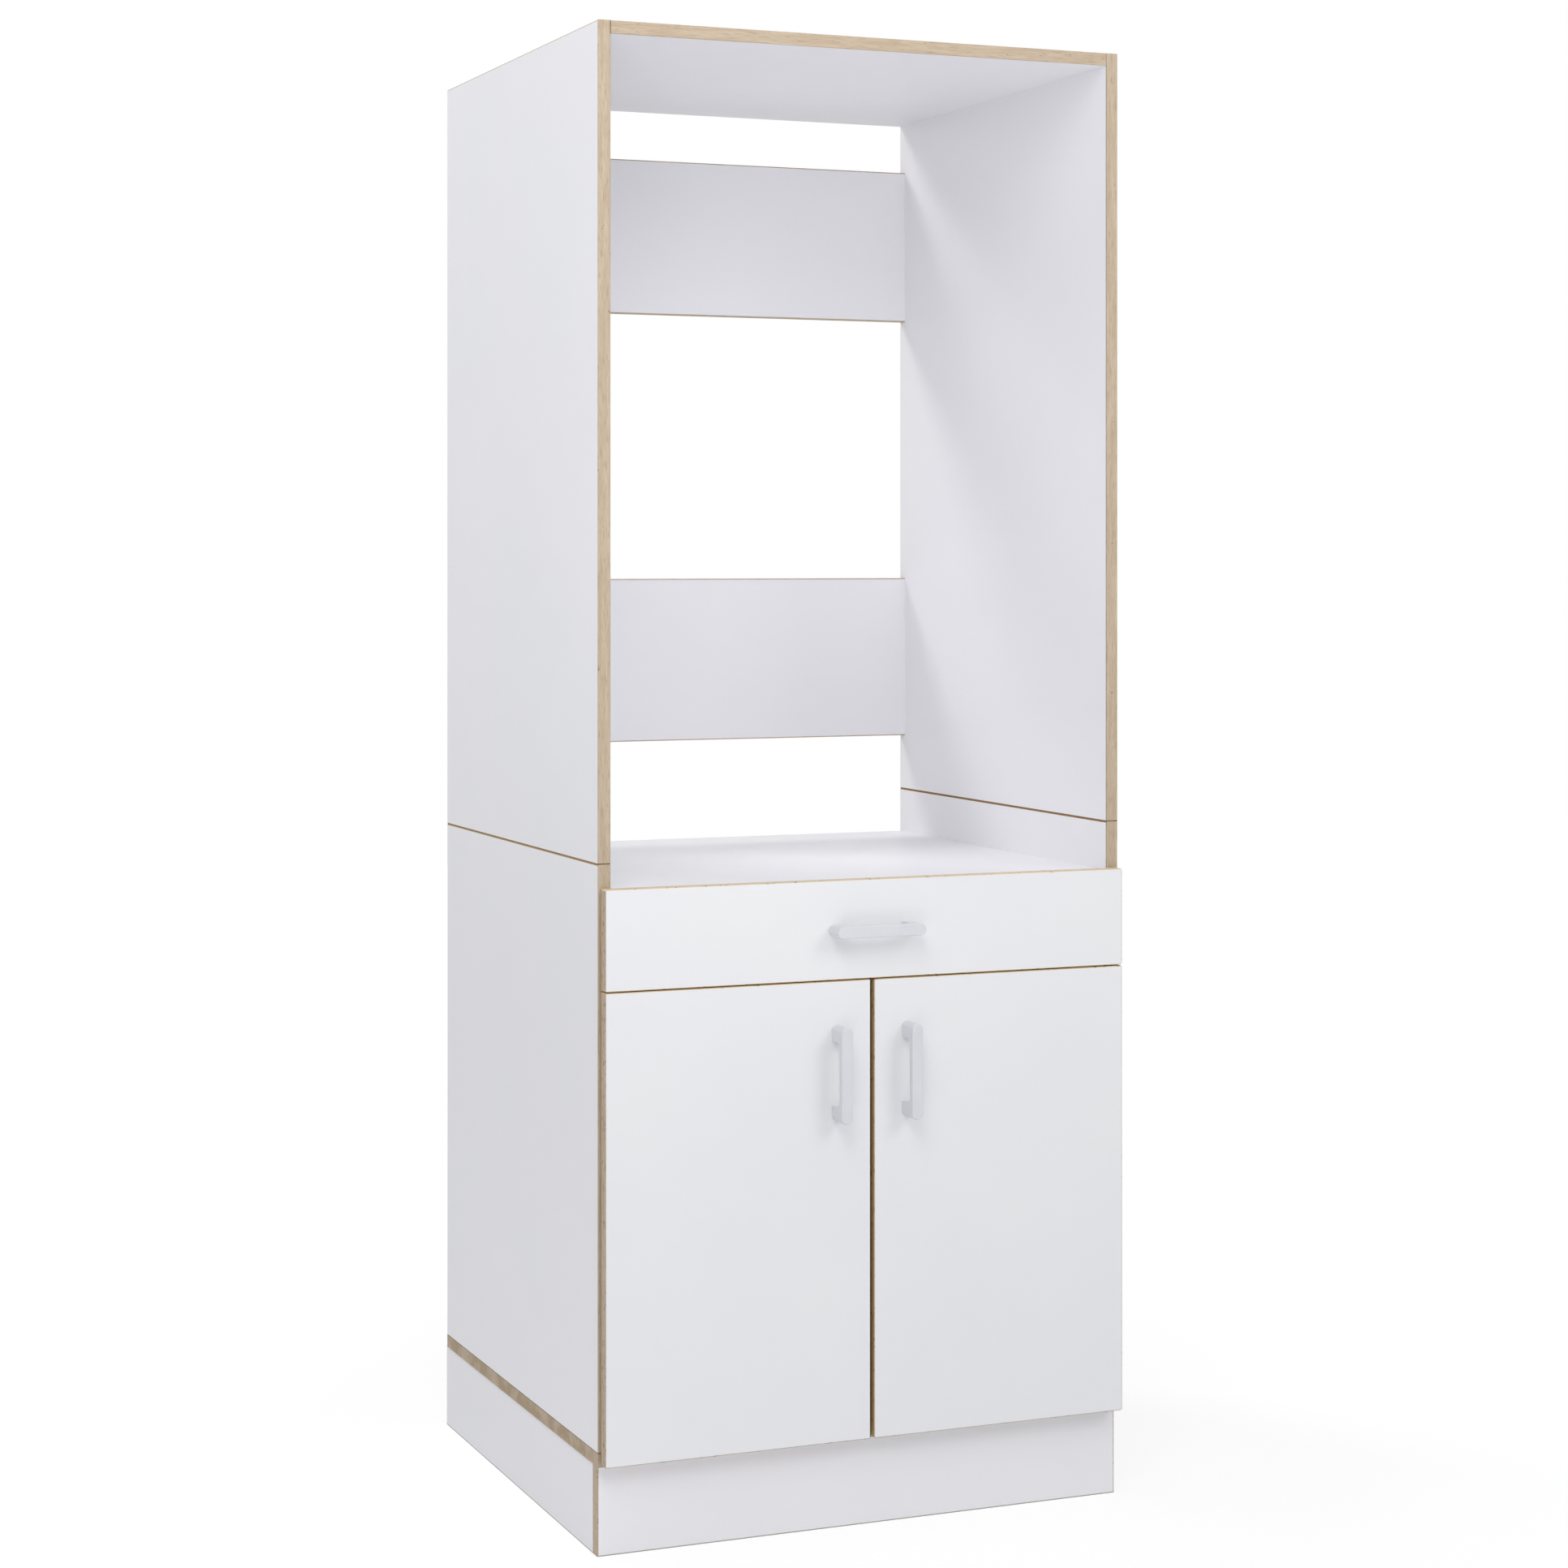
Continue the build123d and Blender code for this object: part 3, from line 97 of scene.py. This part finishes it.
def dressShader(tree, shader, colour, roughness, relief, depth):
    # the colour, the gloss and the relief of a surface, with the relief's depth in millimetres
    feed(tree, shader.inputs["Base Color"], colour)
    feed(tree, shader.inputs["Roughness"], roughness)
    feed(tree, shader.inputs["Normal"], addNode(tree, "Bump", {"Height": relief, "Distance": depth * mm}))


# white melamine-faced board: paper soaked in resin and pressed on with a faintly grained plate

melamineBoard = {
    "boards": ("F2F1F4", "F0F0F3"),  # the white paper and its cloudy patches
    "fronts": ("EFEFF0", "EDEDEF"),  # the doors and the drawer front: a more neutral tint, and a little darker than the boards as painted shade against the stronger light on the fronts
    "mottleSize": 260.0,  # mm, cloudy patches of the paper
    "mottleLevels": (0.35, 0.65),  # noise levels between which the patches fade
    "pearlSize": 1.6,  # mm, the press plate's grain is about 0.6 mm, drawn coarser so that it shows
    "pearlDepth": 0.03,  # mm
    "faceLimit": 0.7,  # a normal's share of the board's axis above which the paper covers it
    "roughness": (0.38, 0.48),
    "glossSize": 60.0,  # mm, where hands and cloths have changed the sheen
    "ior": 1.5,
    "coreRoughness": 0.9,
    "core": "C9AE85",  # pressed chips, seen in drilled holes and on cut edges
    "coreDark": "8F744F",
    "chipSize": 2.2,  # mm
    "chipLevels": (0.1, 0.7),  # from the middle of a chip to its edge
    "footLine": 1.3,  # mm, the tape under the plinth boards shows as a thin line
    "footColour": "A9A196",
}


def melamineWhite(name, faceAxis, paper="boards", footLine=False):
    # satin white with a very soft sheen, and raw chipboard wherever the board is cut across
    look = melamineBoard
    material, tree, shader, _ = newMaterial(name)
    place, normal = millimetrePlace(tree)
    clouds = patches(tree, place, look["mottleSize"], look["mottleLevels"], detail=softDetail)
    white = addNode(tree, "Mix", (clouds, *look[paper]), data_type="RGBA")
    chips = addNode(tree, "TexVoronoi", {"Vector": place, "Scale": 1 / look["chipSize"]})
    chipShade = addNode(tree, "MapRange", (chips, *look["chipLevels"]))
    core = addNode(tree, "Mix", (chipShade, look["core"], look["coreDark"]), data_type="RGBA")
    facing = addNode(tree, "VectorMath", (normal, faceAxis), operation="DOT_PRODUCT")
    isFace = facesAlong(tree, facing, look["faceLimit"])
    colour = addNode(tree, "Mix", (isFace, core, white), data_type="RGBA")
    if footLine:
        height = addNode(tree, "SeparateXYZ", (place,)).outputs["Z"]
        isFoot = addNode(tree, "Math", (height, look["footLine"]), operation="LESS_THAN")
        colour = addNode(tree, "Mix", (isFoot, colour, look["footColour"]), data_type="RGBA")
    satin = patches(tree, place, look["glossSize"], middleLevels, look["roughness"])
    gloss = addNode(tree, "Mix", (isFace, look["coreRoughness"], satin))
    pearlLook = {"Scale": 1 / look["pearlSize"], "Detail": softDetail, "Roughness": noiseRoughness}
    pearl = addNode(tree, "TexNoise", {"Vector": place, **pearlLook})
    relief = addNode(tree, "Mix", (isFace, chips, pearl))
    dressShader(tree, shader, colour, gloss, relief, look["pearlDepth"])
    feed(tree, shader.inputs["IOR"], look["ior"])
    return material


# edge tape: printed oak effect on melamine paper, glued to the boards' edges

edgeTape = {
    "oak": "B9A58C",
    "light": "C6B49D",
    "dark": "9A8367",
    "joint": "6E583F",  # the shadow where two tapes meet
    "jointDark": "33261A",
    "groove": ("A58656", "B98B45"),  # painted shade: the rounded tape in the groove between the units, darker than the oak, on the left and, warmer, on the right
    "stain": "9F8965",  # darker patches on the bottom panel's tape
    "fleck": "57432F",
    "flameSize": (70.0, 5.0),  # mm along and across the grain
    "flameLevels": (0.36, 0.64),  # noise levels between which a pattern fades in, here and below
    "flameBend": 0.6,  # how far the flames wander
    "grainRoughness": 0.6,  # of the noise that all the grain is drawn with
    "poreSize": (16.0, 1.1),  # mm, fine pores, drawn wider than the real 0.3 mm so that they show
    "poreLevels": (0.52, 0.72),
    "poreStrength": (0.0, 0.8),
    "poreDepth": 0.02,  # mm
    "fleckSize": (9.0, 3.0),  # mm along and across the grain, chips in the printed paper
    # the lower these levels are, the more flecks there are
    "fleckLevels": {"frame": (0.71, 0.75), "panel": (0.71, 0.75), "fronts": (0.61, 0.66)},
    "fleckStrength": (0.0, 0.85),
    "stainSize": 28.0,  # mm
    "stainLevels": (0.42, 0.6),
    "stainStrength": (0.1, 0.8),
    "roughness": (0.5, 0.62),
    "ior": 1.5,
    "jointWidth": 1.0,  # mm
    "jointLevels": (0.5, 0.62),  # where the shadow in a joint deepens
    "crossJointStrength": 0.6,  # the tapes meet more closely there
    "panelJointWidth": 2.0,  # mm
    "seamWidth": 1.4,  # mm, where the upper unit stands on the base unit
    "seamLevels": (0.58, 0.66),  # where that line shows in the groove, while on the front it is whole
    "grooveWidth": 3.4,  # mm, the two roundings there
    "frontGap": 677.0,  # mm up, the gap between the drawer front and the doors
    "frontGapWidth": 3.4,  # mm
    "middleGapWidth": 8.0,  # mm, the gap between the doors with the edges on both sides of it
    "gapPaintedLight": "CBB188",  # painted light: the tape inside both gaps, lighter and a little warmer than the oak, as if lit
    "drawerTop": 798.0,  # mm up, the drawer front's top tape starts here
    "paintedTopLight": "DCC8A8",  # painted light: that tape is drawn paler, as lit from above
    "middleGapSide": -2.9,  # mm, the left door's tape beside the middle gap, which reads as shade
    "innerSide": 334.0,  # mm from the middle, where the cross boards meet the sides
    "leftSeam": 828.0,  # mm up
    "rightSeam": 858.0,
    "bottomPanelTop": 126.0,  # mm up, under the base unit's sides
}


def nearLine(tree, value, line, width):
    # 1 within half a width of a line, otherwise 0
    offset = addNode(tree, "Math", (value, line), operation="SUBTRACT")
    distance = addNode(tree, "Math", (offset,), operation="ABSOLUTE")
    return addNode(tree, "Math", (distance, width / 2), operation="LESS_THAN")


def grainNoise(tree, places, alongs, length, width, bend=0.0):
    # noise drawn out along the grain, with its length and width in millimetres
    divided = []
    for axis, along in zip("XYZ", alongs):
        size = addNode(tree, "Mix", (along, width, length))
        divided.append(addNode(tree, "Math", (places.outputs[axis], size), operation="DIVIDE"))
    grained = addNode(tree, "CombineXYZ", divided)
    look = {"Detail": fullDetail, "Roughness": edgeTape["grainRoughness"], "Distortion": bend}
    return addNode(tree, "TexNoise", {"Vector": grained, "Scale": 1.0, **look})


def oakEffectTape(name, piece):
    # pale warm oak that runs along each edge, with soft flames and short dark pores, painted shadow in
    # the joints, painted shade in the groove between the units, and painted light in the gaps and on the
    # drawer front's top
    # the piece is the frame of both units, the bottom panel, or the fronts with the plinth
    look = edgeTape
    material, tree, shader, _ = newMaterial(name)
    place, normal = millimetrePlace(tree)
    places = addNode(tree, "SeparateXYZ", (place,))
    normals = addNode(tree, "SeparateXYZ", (normal,))
    placeX, placeZ = places.outputs["X"], places.outputs["Z"]
    across = addNode(tree, "Math", (placeX,), operation="ABSOLUTE")
    if piece == "frame":
        onSide = addNode(tree, "Math", (across, look["innerSide"]), operation="GREATER_THAN")
        facesUp = facesAlong(tree, normals.outputs["Z"])
        alongY = addNode(tree, "Math", (onSide, facesUp), operation="MULTIPLY")
        alongZ = addNode(tree, "Math", (onSide, alongY), operation="SUBTRACT")
        alongX = addNode(tree, "Math", (1.0, onSide), operation="SUBTRACT")
    else:
        alongY = 0.0
        alongZ = facesAlong(tree, normals.outputs["X"])
        alongX = addNode(tree, "Math", (1.0, alongZ), operation="SUBTRACT")
    alongs = (alongX, alongY, alongZ)
    flames = grainNoise(tree, places, alongs, *look["flameSize"], look["flameBend"])
    pores = grainNoise(tree, places, alongs, *look["poreSize"])
    chips = grainNoise(tree, places, alongs, *look["fleckSize"])
    flamed = addNode(tree, "MapRange", (flames, *look["flameLevels"]))
    pored = addNode(tree, "MapRange", (pores, *look["poreLevels"], *look["poreStrength"]))
    tints = [(flamed, look["light"]), (pored, look["dark"])]  # each with its share, the lowest first
    if piece == "frame":
        onRight = addNode(tree, "Math", (placeX, 0.0), operation="GREATER_THAN")
        seam = addNode(tree, "Mix", (onRight, look["leftSeam"], look["rightSeam"]))
        facesFront = facesAlong(tree, normals.outputs["Y"])
        offFront = addNode(tree, "Math", (1.0, facesFront), operation="SUBTRACT")
        # painted shade on the rounded tape in the groove between the units, away from the front faces
        rounding = nearLine(tree, placeZ, seam, look["grooveWidth"])
        groove = addNode(tree, "Math", (rounding, offFront), operation="MULTIPLY")
        tints.append((groove, addNode(tree, "Mix", (onRight, *look["groove"]), data_type="RGBA")))
        crossLine = nearLine(tree, across, look["innerSide"], look["jointWidth"])
        crossJoint = addNode(tree, "Math", (crossLine, look["crossJointStrength"]), operation="MULTIPLY")
        aboveSeam = addNode(tree, "Math", (seam, look["seamWidth"] / 2), operation="ADD")
        seamLine = nearLine(tree, placeZ, aboveSeam, look["seamWidth"])
        inGroove = addNode(tree, "MapRange", (chips, *look["seamLevels"]))
        seamShade = addNode(tree, "Mix", (facesFront, inGroove, 1.0))
        seamJoint = addNode(tree, "Math", (seamLine, seamShade), operation="MULTIPLY")
        joint = addNode(tree, "Math", (crossJoint, seamJoint), operation="MAXIMUM")
    elif piece == "panel":
        stainLook = (look["stainSize"], look["stainLevels"], look["stainStrength"], softDetail)
        tints.append((patches(tree, place, *stainLook), look["stain"]))
        joint = nearLine(tree, placeZ, look["bottomPanelTop"], look["panelJointWidth"])
    else:
        # painted light in the gap under the drawer front and in the gap between the doors, where the tape
        # would lie in shade
        inRow = nearLine(tree, placeZ, look["frontGap"], look["frontGapWidth"])
        nearMiddle = nearLine(tree, placeX, 0.0, look["middleGapWidth"])
        inMiddle = addNode(tree, "Math", (alongZ, nearMiddle), operation="MULTIPLY")
        paintedLightInGaps = addNode(tree, "Math", (inRow, inMiddle), operation="MAXIMUM")
        # painted light on the drawer front's top tape
        onTop = addNode(tree, "Math", (placeZ, look["drawerTop"]), operation="GREATER_THAN")
        tints += [(paintedLightInGaps, look["gapPaintedLight"]), (onTop, look["paintedTopLight"])]
        joint = nearLine(tree, placeX, look["middleGapSide"], look["jointWidth"])
    flecked = addNode(tree, "MapRange", (chips, *look["fleckLevels"][piece], *look["fleckStrength"]))
    deepened = addNode(tree, "MapRange", (chips, *look["jointLevels"]))
    jointTone = addNode(tree, "Mix", (deepened, look["joint"], look["jointDark"]), data_type="RGBA")
    tints += [(flecked, look["fleck"]), (joint, jointTone)]
    colour = look["oak"]
    for share, tint in tints:
        colour = addNode(tree, "Mix", (share, colour, tint), data_type="RGBA")
    gloss = addNode(tree, "MapRange", (flames, *middleLevels, *look["roughness"]))
    relief = addNode(tree, "Math", (1.0, pores), operation="SUBTRACT")
    dressShader(tree, shader, colour, gloss, relief, look["poreDepth"])
    feed(tree, shader.inputs["IOR"], look["ior"])
    return material


# plain finishes that need a colour, a fine relief and a little wear

def plainFinish(name, look):
    # a base colour with soft clouds, a fine grain in the gloss and a shallow relief
    material, tree, shader, _ = newMaterial(name)
    place, _ = millimetrePlace(tree)
    clouds = patches(tree, place, look["cloudSize"], middleLevels)
    colour = addNode(tree, "Mix", (clouds, look["colour"], look["shade"]), data_type="RGBA")
    grainLook = {"Scale": 1 / look["grainSize"], "Detail": softDetail, "Roughness": noiseRoughness}
    grain = addNode(tree, "TexNoise", {"Vector": place, **grainLook})
    gloss = addNode(tree, "MapRange", (grain, *middleLevels, *look["roughness"]))
    dressShader(tree, shader, colour, gloss, grain, look["grainDepth"])
    if "ior" in look:
        feed(tree, shader.inputs["IOR"], look["ior"])
    else:
        feed(tree, shader.inputs["Metallic"], 1.0)
    return material


# sizes and depths in mm
finishes = {
    # ABS, injection moulded in a spark-eroded tool: dull, silky and a very slightly blue grey
    "mouldedAbs": {
        "colour": "DDDEE1", "shade": "D8D9DD", "cloudSize": 30.0, "grainSize": 0.7,
        "grainDepth": 0.02, "roughness": (0.42, 0.52), "ior": 1.54,
    },
    # hardboard with a rolled white lacquer: flatter and a little greyer than the boards
    "lacqueredHardboard": {
        "colour": "E4E4E6", "shade": "DEDEE1", "cloudSize": 90.0, "grainSize": 1.2,
        "grainDepth": 0.03, "roughness": (0.5, 0.62), "ior": 1.5,
    },
    # chipboard wrapped in thin white foil: smooth and even
    "foilWrappedBoard": {
        "colour": "E7E7E9", "shade": "E2E2E5", "cloudSize": 70.0, "grainSize": 1.0,
        "grainDepth": 0.015, "roughness": (0.35, 0.45), "ior": 1.5,
    },
    # turned and fluted beech: warm, dull and straight grained
    "turnedBeech": {
        "colour": "C99B6B", "shade": "B9895B", "cloudSize": 3.0, "grainSize": 0.8,
        "grainDepth": 0.05, "roughness": (0.6, 0.75), "ior": 1.5,
    },
    # zinc die casting as it leaves the mould: grey with a cloudy skin
    "dieCastZinc": {
        "colour": "9C9DA0", "shade": "8A8B90", "cloudSize": 2.5, "grainSize": 0.6,
        "grainDepth": 0.02, "roughness": (0.4, 0.55),
    },
    # bright zinc plating over steel: cool and lightly spangled
    "zincPlatedSteel": {
        "colour": "B9BCC2", "shade": "A9ADB6", "cloudSize": 1.5, "grainSize": 0.4,
        "grainDepth": 0.01, "roughness": (0.25, 0.38),
    },
    # nickel plating over pressed steel: slightly warm, with fine press marks
    "nickelPlatedSteel": {
        "colour": "BDB8AE", "shade": "ACA79D", "cloudSize": 4.0, "grainSize": 0.5,
        "grainDepth": 0.01, "roughness": (0.2, 0.32),
    },
    # powder coating on sheet steel: even white with fine orange peel
    "powderCoatedSteel": {
        "colour": "E3E3E1", "shade": "DDDDDB", "cloudSize": 25.0, "grainSize": 1.4,
        "grainDepth": 0.03, "roughness": (0.32, 0.42), "ior": 1.5,
    },
    # acetal, moulded and slippery: milky with a soft gloss
    "mouldedAcetal": {
        "colour": "DCDCD6", "shade": "D2D2CB", "cloudSize": 5.0, "grainSize": 0.9,
        "grainDepth": 0.01, "roughness": (0.22, 0.32), "ior": 1.48,
    },
    # soft polyurethane drop: cloudy and rubbery
    "softPolyurethane": {
        "colour": "CFD0CC", "shade": "C4C5C0", "cloudSize": 2.0, "grainSize": 0.5,
        "grainDepth": 0.02, "roughness": (0.45, 0.6), "ior": 1.5,
    },
}
materials = {name: plainFinish(name, look) for name, look in finishes.items()}
materials["melamineFlat"] = melamineWhite("melamineFlat", (0, 0, 1))
materials["melamineSide"] = melamineWhite("melamineSide", (1, 0, 0))
materials["melamineUpright"] = melamineWhite("melamineUpright", (0, 1, 0))
# the fronts' paper is a little darker than the boards: painted shade against the stronger light on them
materials["melamineFronts"] = melamineWhite("melamineFronts", (0, 1, 0), paper="fronts")
materials["melaminePlinthSide"] = melamineWhite("melaminePlinthSide", (1, 0, 0), footLine=True)
materials["melaminePlinthFront"] = melamineWhite("melaminePlinthFront", (0, 1, 0), footLine=True)
materials["oakTapeFrame"] = oakEffectTape("oakTapeFrame", "frame")
materials["oakTapeFronts"] = oakEffectTape("oakTapeFronts", "fronts")
materials["oakTapePanel"] = oakEffectTape("oakTapePanel", "panel")
print("cabinet: materials made,", len(materials))

finishOf = {
    "melamineFlat": (
        "top_panel", "appliance_platform", "front_cross_rail", "bottom_panel", "cupboard_shelf",
    ),
    "melamineSide": ("upper_left_side", "upper_right_side", "base_left_side", "base_right_side"),
    "melamineUpright": ("upper_back_rail", "lower_back_rail", "platform_bearer"),
    "melamineFronts": ("left_door", "right_door", "drawer_front"),
    "melaminePlinthSide": ("plinth_left_side", "plinth_right_side"),
    "melaminePlinthFront": ("plinth_front", "plinth_back"),
    "oakTapeFrame": ("upper_unit_edging", "base_unit_edging"),
    "oakTapeFronts": ("plinth_edging", "left_door_edging", "right_door_edging", "drawer_front_edging"),
    "oakTapePanel": ("bottom_panel_edging",),
    "mouldedAbs": ("left_door_handle", "right_door_handle", "drawer_handle"),
    "lacqueredHardboard": ("base_back_panel", "drawer_bottom"),
    "foilWrappedBoard": ("drawer_left_side", "drawer_right_side", "drawer_back"),
    "turnedBeech": ("wooden_dowels", "drawer_dowels"),
    "dieCastZinc": ("cam_discs",),
    "zincPlatedSteel": (
        "cam_bolts", "carcass_screws", "chipboard_screws", "plinth_corner_brackets", "wall_brackets",
        "left_door_screws", "right_door_screws", "drawer_handle_screws", "shelf_pins", "hinge_arm_screws",
    ),
    "nickelPlatedSteel": ("hinge_plates", "hinge_arms", "left_hinge_cups", "right_hinge_cups"),
    "powderCoatedSteel": (
        "left_cabinet_runner", "right_cabinet_runner", "left_drawer_runner", "right_drawer_runner",
    ),
    "mouldedAcetal": ("left_front_roller", "right_front_roller", "left_rear_roller", "right_rear_roller"),
    "softPolyurethane": ("front_buffers",),
}
for finish, names in finishOf.items():
    for name in names:
        nodes[name].data.materials.clear()
        nodes[name].data.materials.append(materials[finish])
print("cabinet: finishes given")

# studio: white floor and surroundings, soft lamps

studio = {
    "floorColour": "F2F2F3",
    "floorRoughness": 0.9,
    "floorShine": 0.0,  # no mirror image of the cabinet in the floor
    "backdrop": "FFFFFF",
    "backdropStrength": 1.0,
    "ambient": "F8F9FC",
    "ambientStrength": 0.55,
    "floorGlow": (0.64, 1.0),  # how far the camera sees the floor as plain white, near and far
    "floorGlowStrength": 1.14,
    "floorFade": (0.7, 3.2),  # m from the middle, where the near share starts and stops fading out
    "floorSize": 16.0,  # m
}
floorMaterial, floorTree, floorShader, floorOutput = newMaterial("studioFloor")
feed(floorTree, floorShader.inputs["Base Color"], studio["floorColour"])
feed(floorTree, floorShader.inputs["Roughness"], studio["floorRoughness"])
feed(floorTree, floorShader.inputs["Specular IOR Level"], studio["floorShine"])
floorPaper = addNode(floorTree, "Emission", (studio["backdrop"], studio["floorGlowStrength"]))
floorPlace = addNode(floorTree, "TexCoord").outputs["Object"]
floorReach = addNode(floorTree, "VectorMath", (floorPlace,), operation="LENGTH")
floorShare = addNode(floorTree, "MapRange", (floorReach, *studio["floorFade"], *studio["floorGlow"]))
seenByCamera = addNode(floorTree, "LightPath").outputs["Is Camera Ray"]
seenPlain = addNode(floorTree, "Math", (seenByCamera, floorShare), operation="MULTIPLY")
floorMix = addNode(floorTree, "MixShader", (seenPlain, floorShader, floorPaper))
feed(floorTree, floorOutput.inputs["Surface"], floorMix)
bpy.ops.mesh.primitive_plane_add(size=studio["floorSize"], location=(0, 0, 0))
floor = bpy.context.object
floor.name = "studioFloor"
floor.data.materials.append(floorMaterial)

world = bpy.data.worlds.new("studio")
bpy.context.scene.world = world
world.use_nodes = True
worldTree = world.node_tree
worldTree.nodes.clear()
ambientLight = addNode(worldTree, "Background", (studio["ambient"], studio["ambientStrength"]))
whitePaper = addNode(worldTree, "Background", (studio["backdrop"], studio["backdropStrength"]))
rays = addNode(worldTree, "LightPath").outputs
glossyOrClear = (rays["Is Glossy Ray"], rays["Is Transmission Ray"])
mirrored = addNode(worldTree, "Math", glossyOrClear, operation="MAXIMUM")
seenWhite = addNode(worldTree, "Math", (rays["Is Camera Ray"], mirrored), operation="MAXIMUM")
worldMix = addNode(worldTree, "MixShader", (seenWhite, ambientLight, whitePaper))
addNode(worldTree, "OutputWorld", {"Surface": worldMix})

lamps = {
    # name: place in m, aimed at in m, size in m, power in W, and a narrow beam's spread in degrees
    "keySoftbox": ((2.4, -4.2, 3.6), (0, 0, 0.9), 2.2, 52.6),
    "topLeftSoftbox": ((-1.1, -1.7, 2.8), (0.2, 0.1, 1.1), 1.0, 9.38),
    "nearSoftbox": ((-0.9, -2.0, 2.1), (0.1, 0.3, 1.3), 1.0, 6.63),
    "lowSoftbox": ((-0.8, -3.5, 0.35), (0.2, 0, 1.6), 1.6, 6.22),
    "ceilingLight": ((-0.9, -1.9, 0.3), (0.25, -0.1, 1.8), 0.7, 0.755, 50.0),
    "overheadSoftbox": ((0, -0.6, 4.2), (0, 0, 0.8), 2.4, 6.83),
    "backHighSoftbox": ((-1.7, 2.4, 3.9), (0.2, 0, 1.2), 1.2, 47.5),
}
for name, (place, target, size, power, *spread) in lamps.items():
    data = bpy.data.lights.new(name, "AREA")
    data.shape = "SQUARE"
    data.size = size
    data.energy = power
    if spread:
        data.spread = math.radians(spread[0])
    lamp = bpy.data.objects.new(name, data)
    bpy.context.scene.collection.objects.link(lamp)
    lamp.location = place
    direction = [b - a for a, b in zip(place, target)]
    flat = math.hypot(direction[0], direction[1])
    lamp.rotation_euler = (math.atan2(flat, -direction[2]), 0, math.atan2(-direction[0], direction[1]))
print("cabinet: studio lit")

# camera, level, from the front left, with the view shifted down to keep the verticals upright

cameraSettings = {
    "place": (-1.6015, -3.9252, 1.1982),  # m
    "turn": 22.34,  # degrees to the right of straight ahead
    "focalPixels": 3958.1,
    "horizon": 683.3,  # pixels from the top of the photograph
    "sensor": 36.0,  # mm
    "farthest": 60.0,  # m
}
cameraData = bpy.data.cameras.new("photoCamera")
cameraData.sensor_width = cameraSettings["sensor"]
cameraData.lens = cameraSettings["focalPixels"] / imageSize * cameraSettings["sensor"]
cameraData.shift_y = (cameraSettings["horizon"] - imageSize / 2) / imageSize
cameraData.clip_end = cameraSettings["farthest"]
camera = bpy.data.objects.new("photoCamera", cameraData)
bpy.context.scene.collection.objects.link(camera)
camera.location = cameraSettings["place"]
camera.rotation_euler = (math.pi / 2, 0, -math.radians(cameraSettings["turn"]))
bpy.context.scene.camera = camera
bpy.context.scene.view_settings.view_transform = "Standard"
print("cabinet: camera placed")
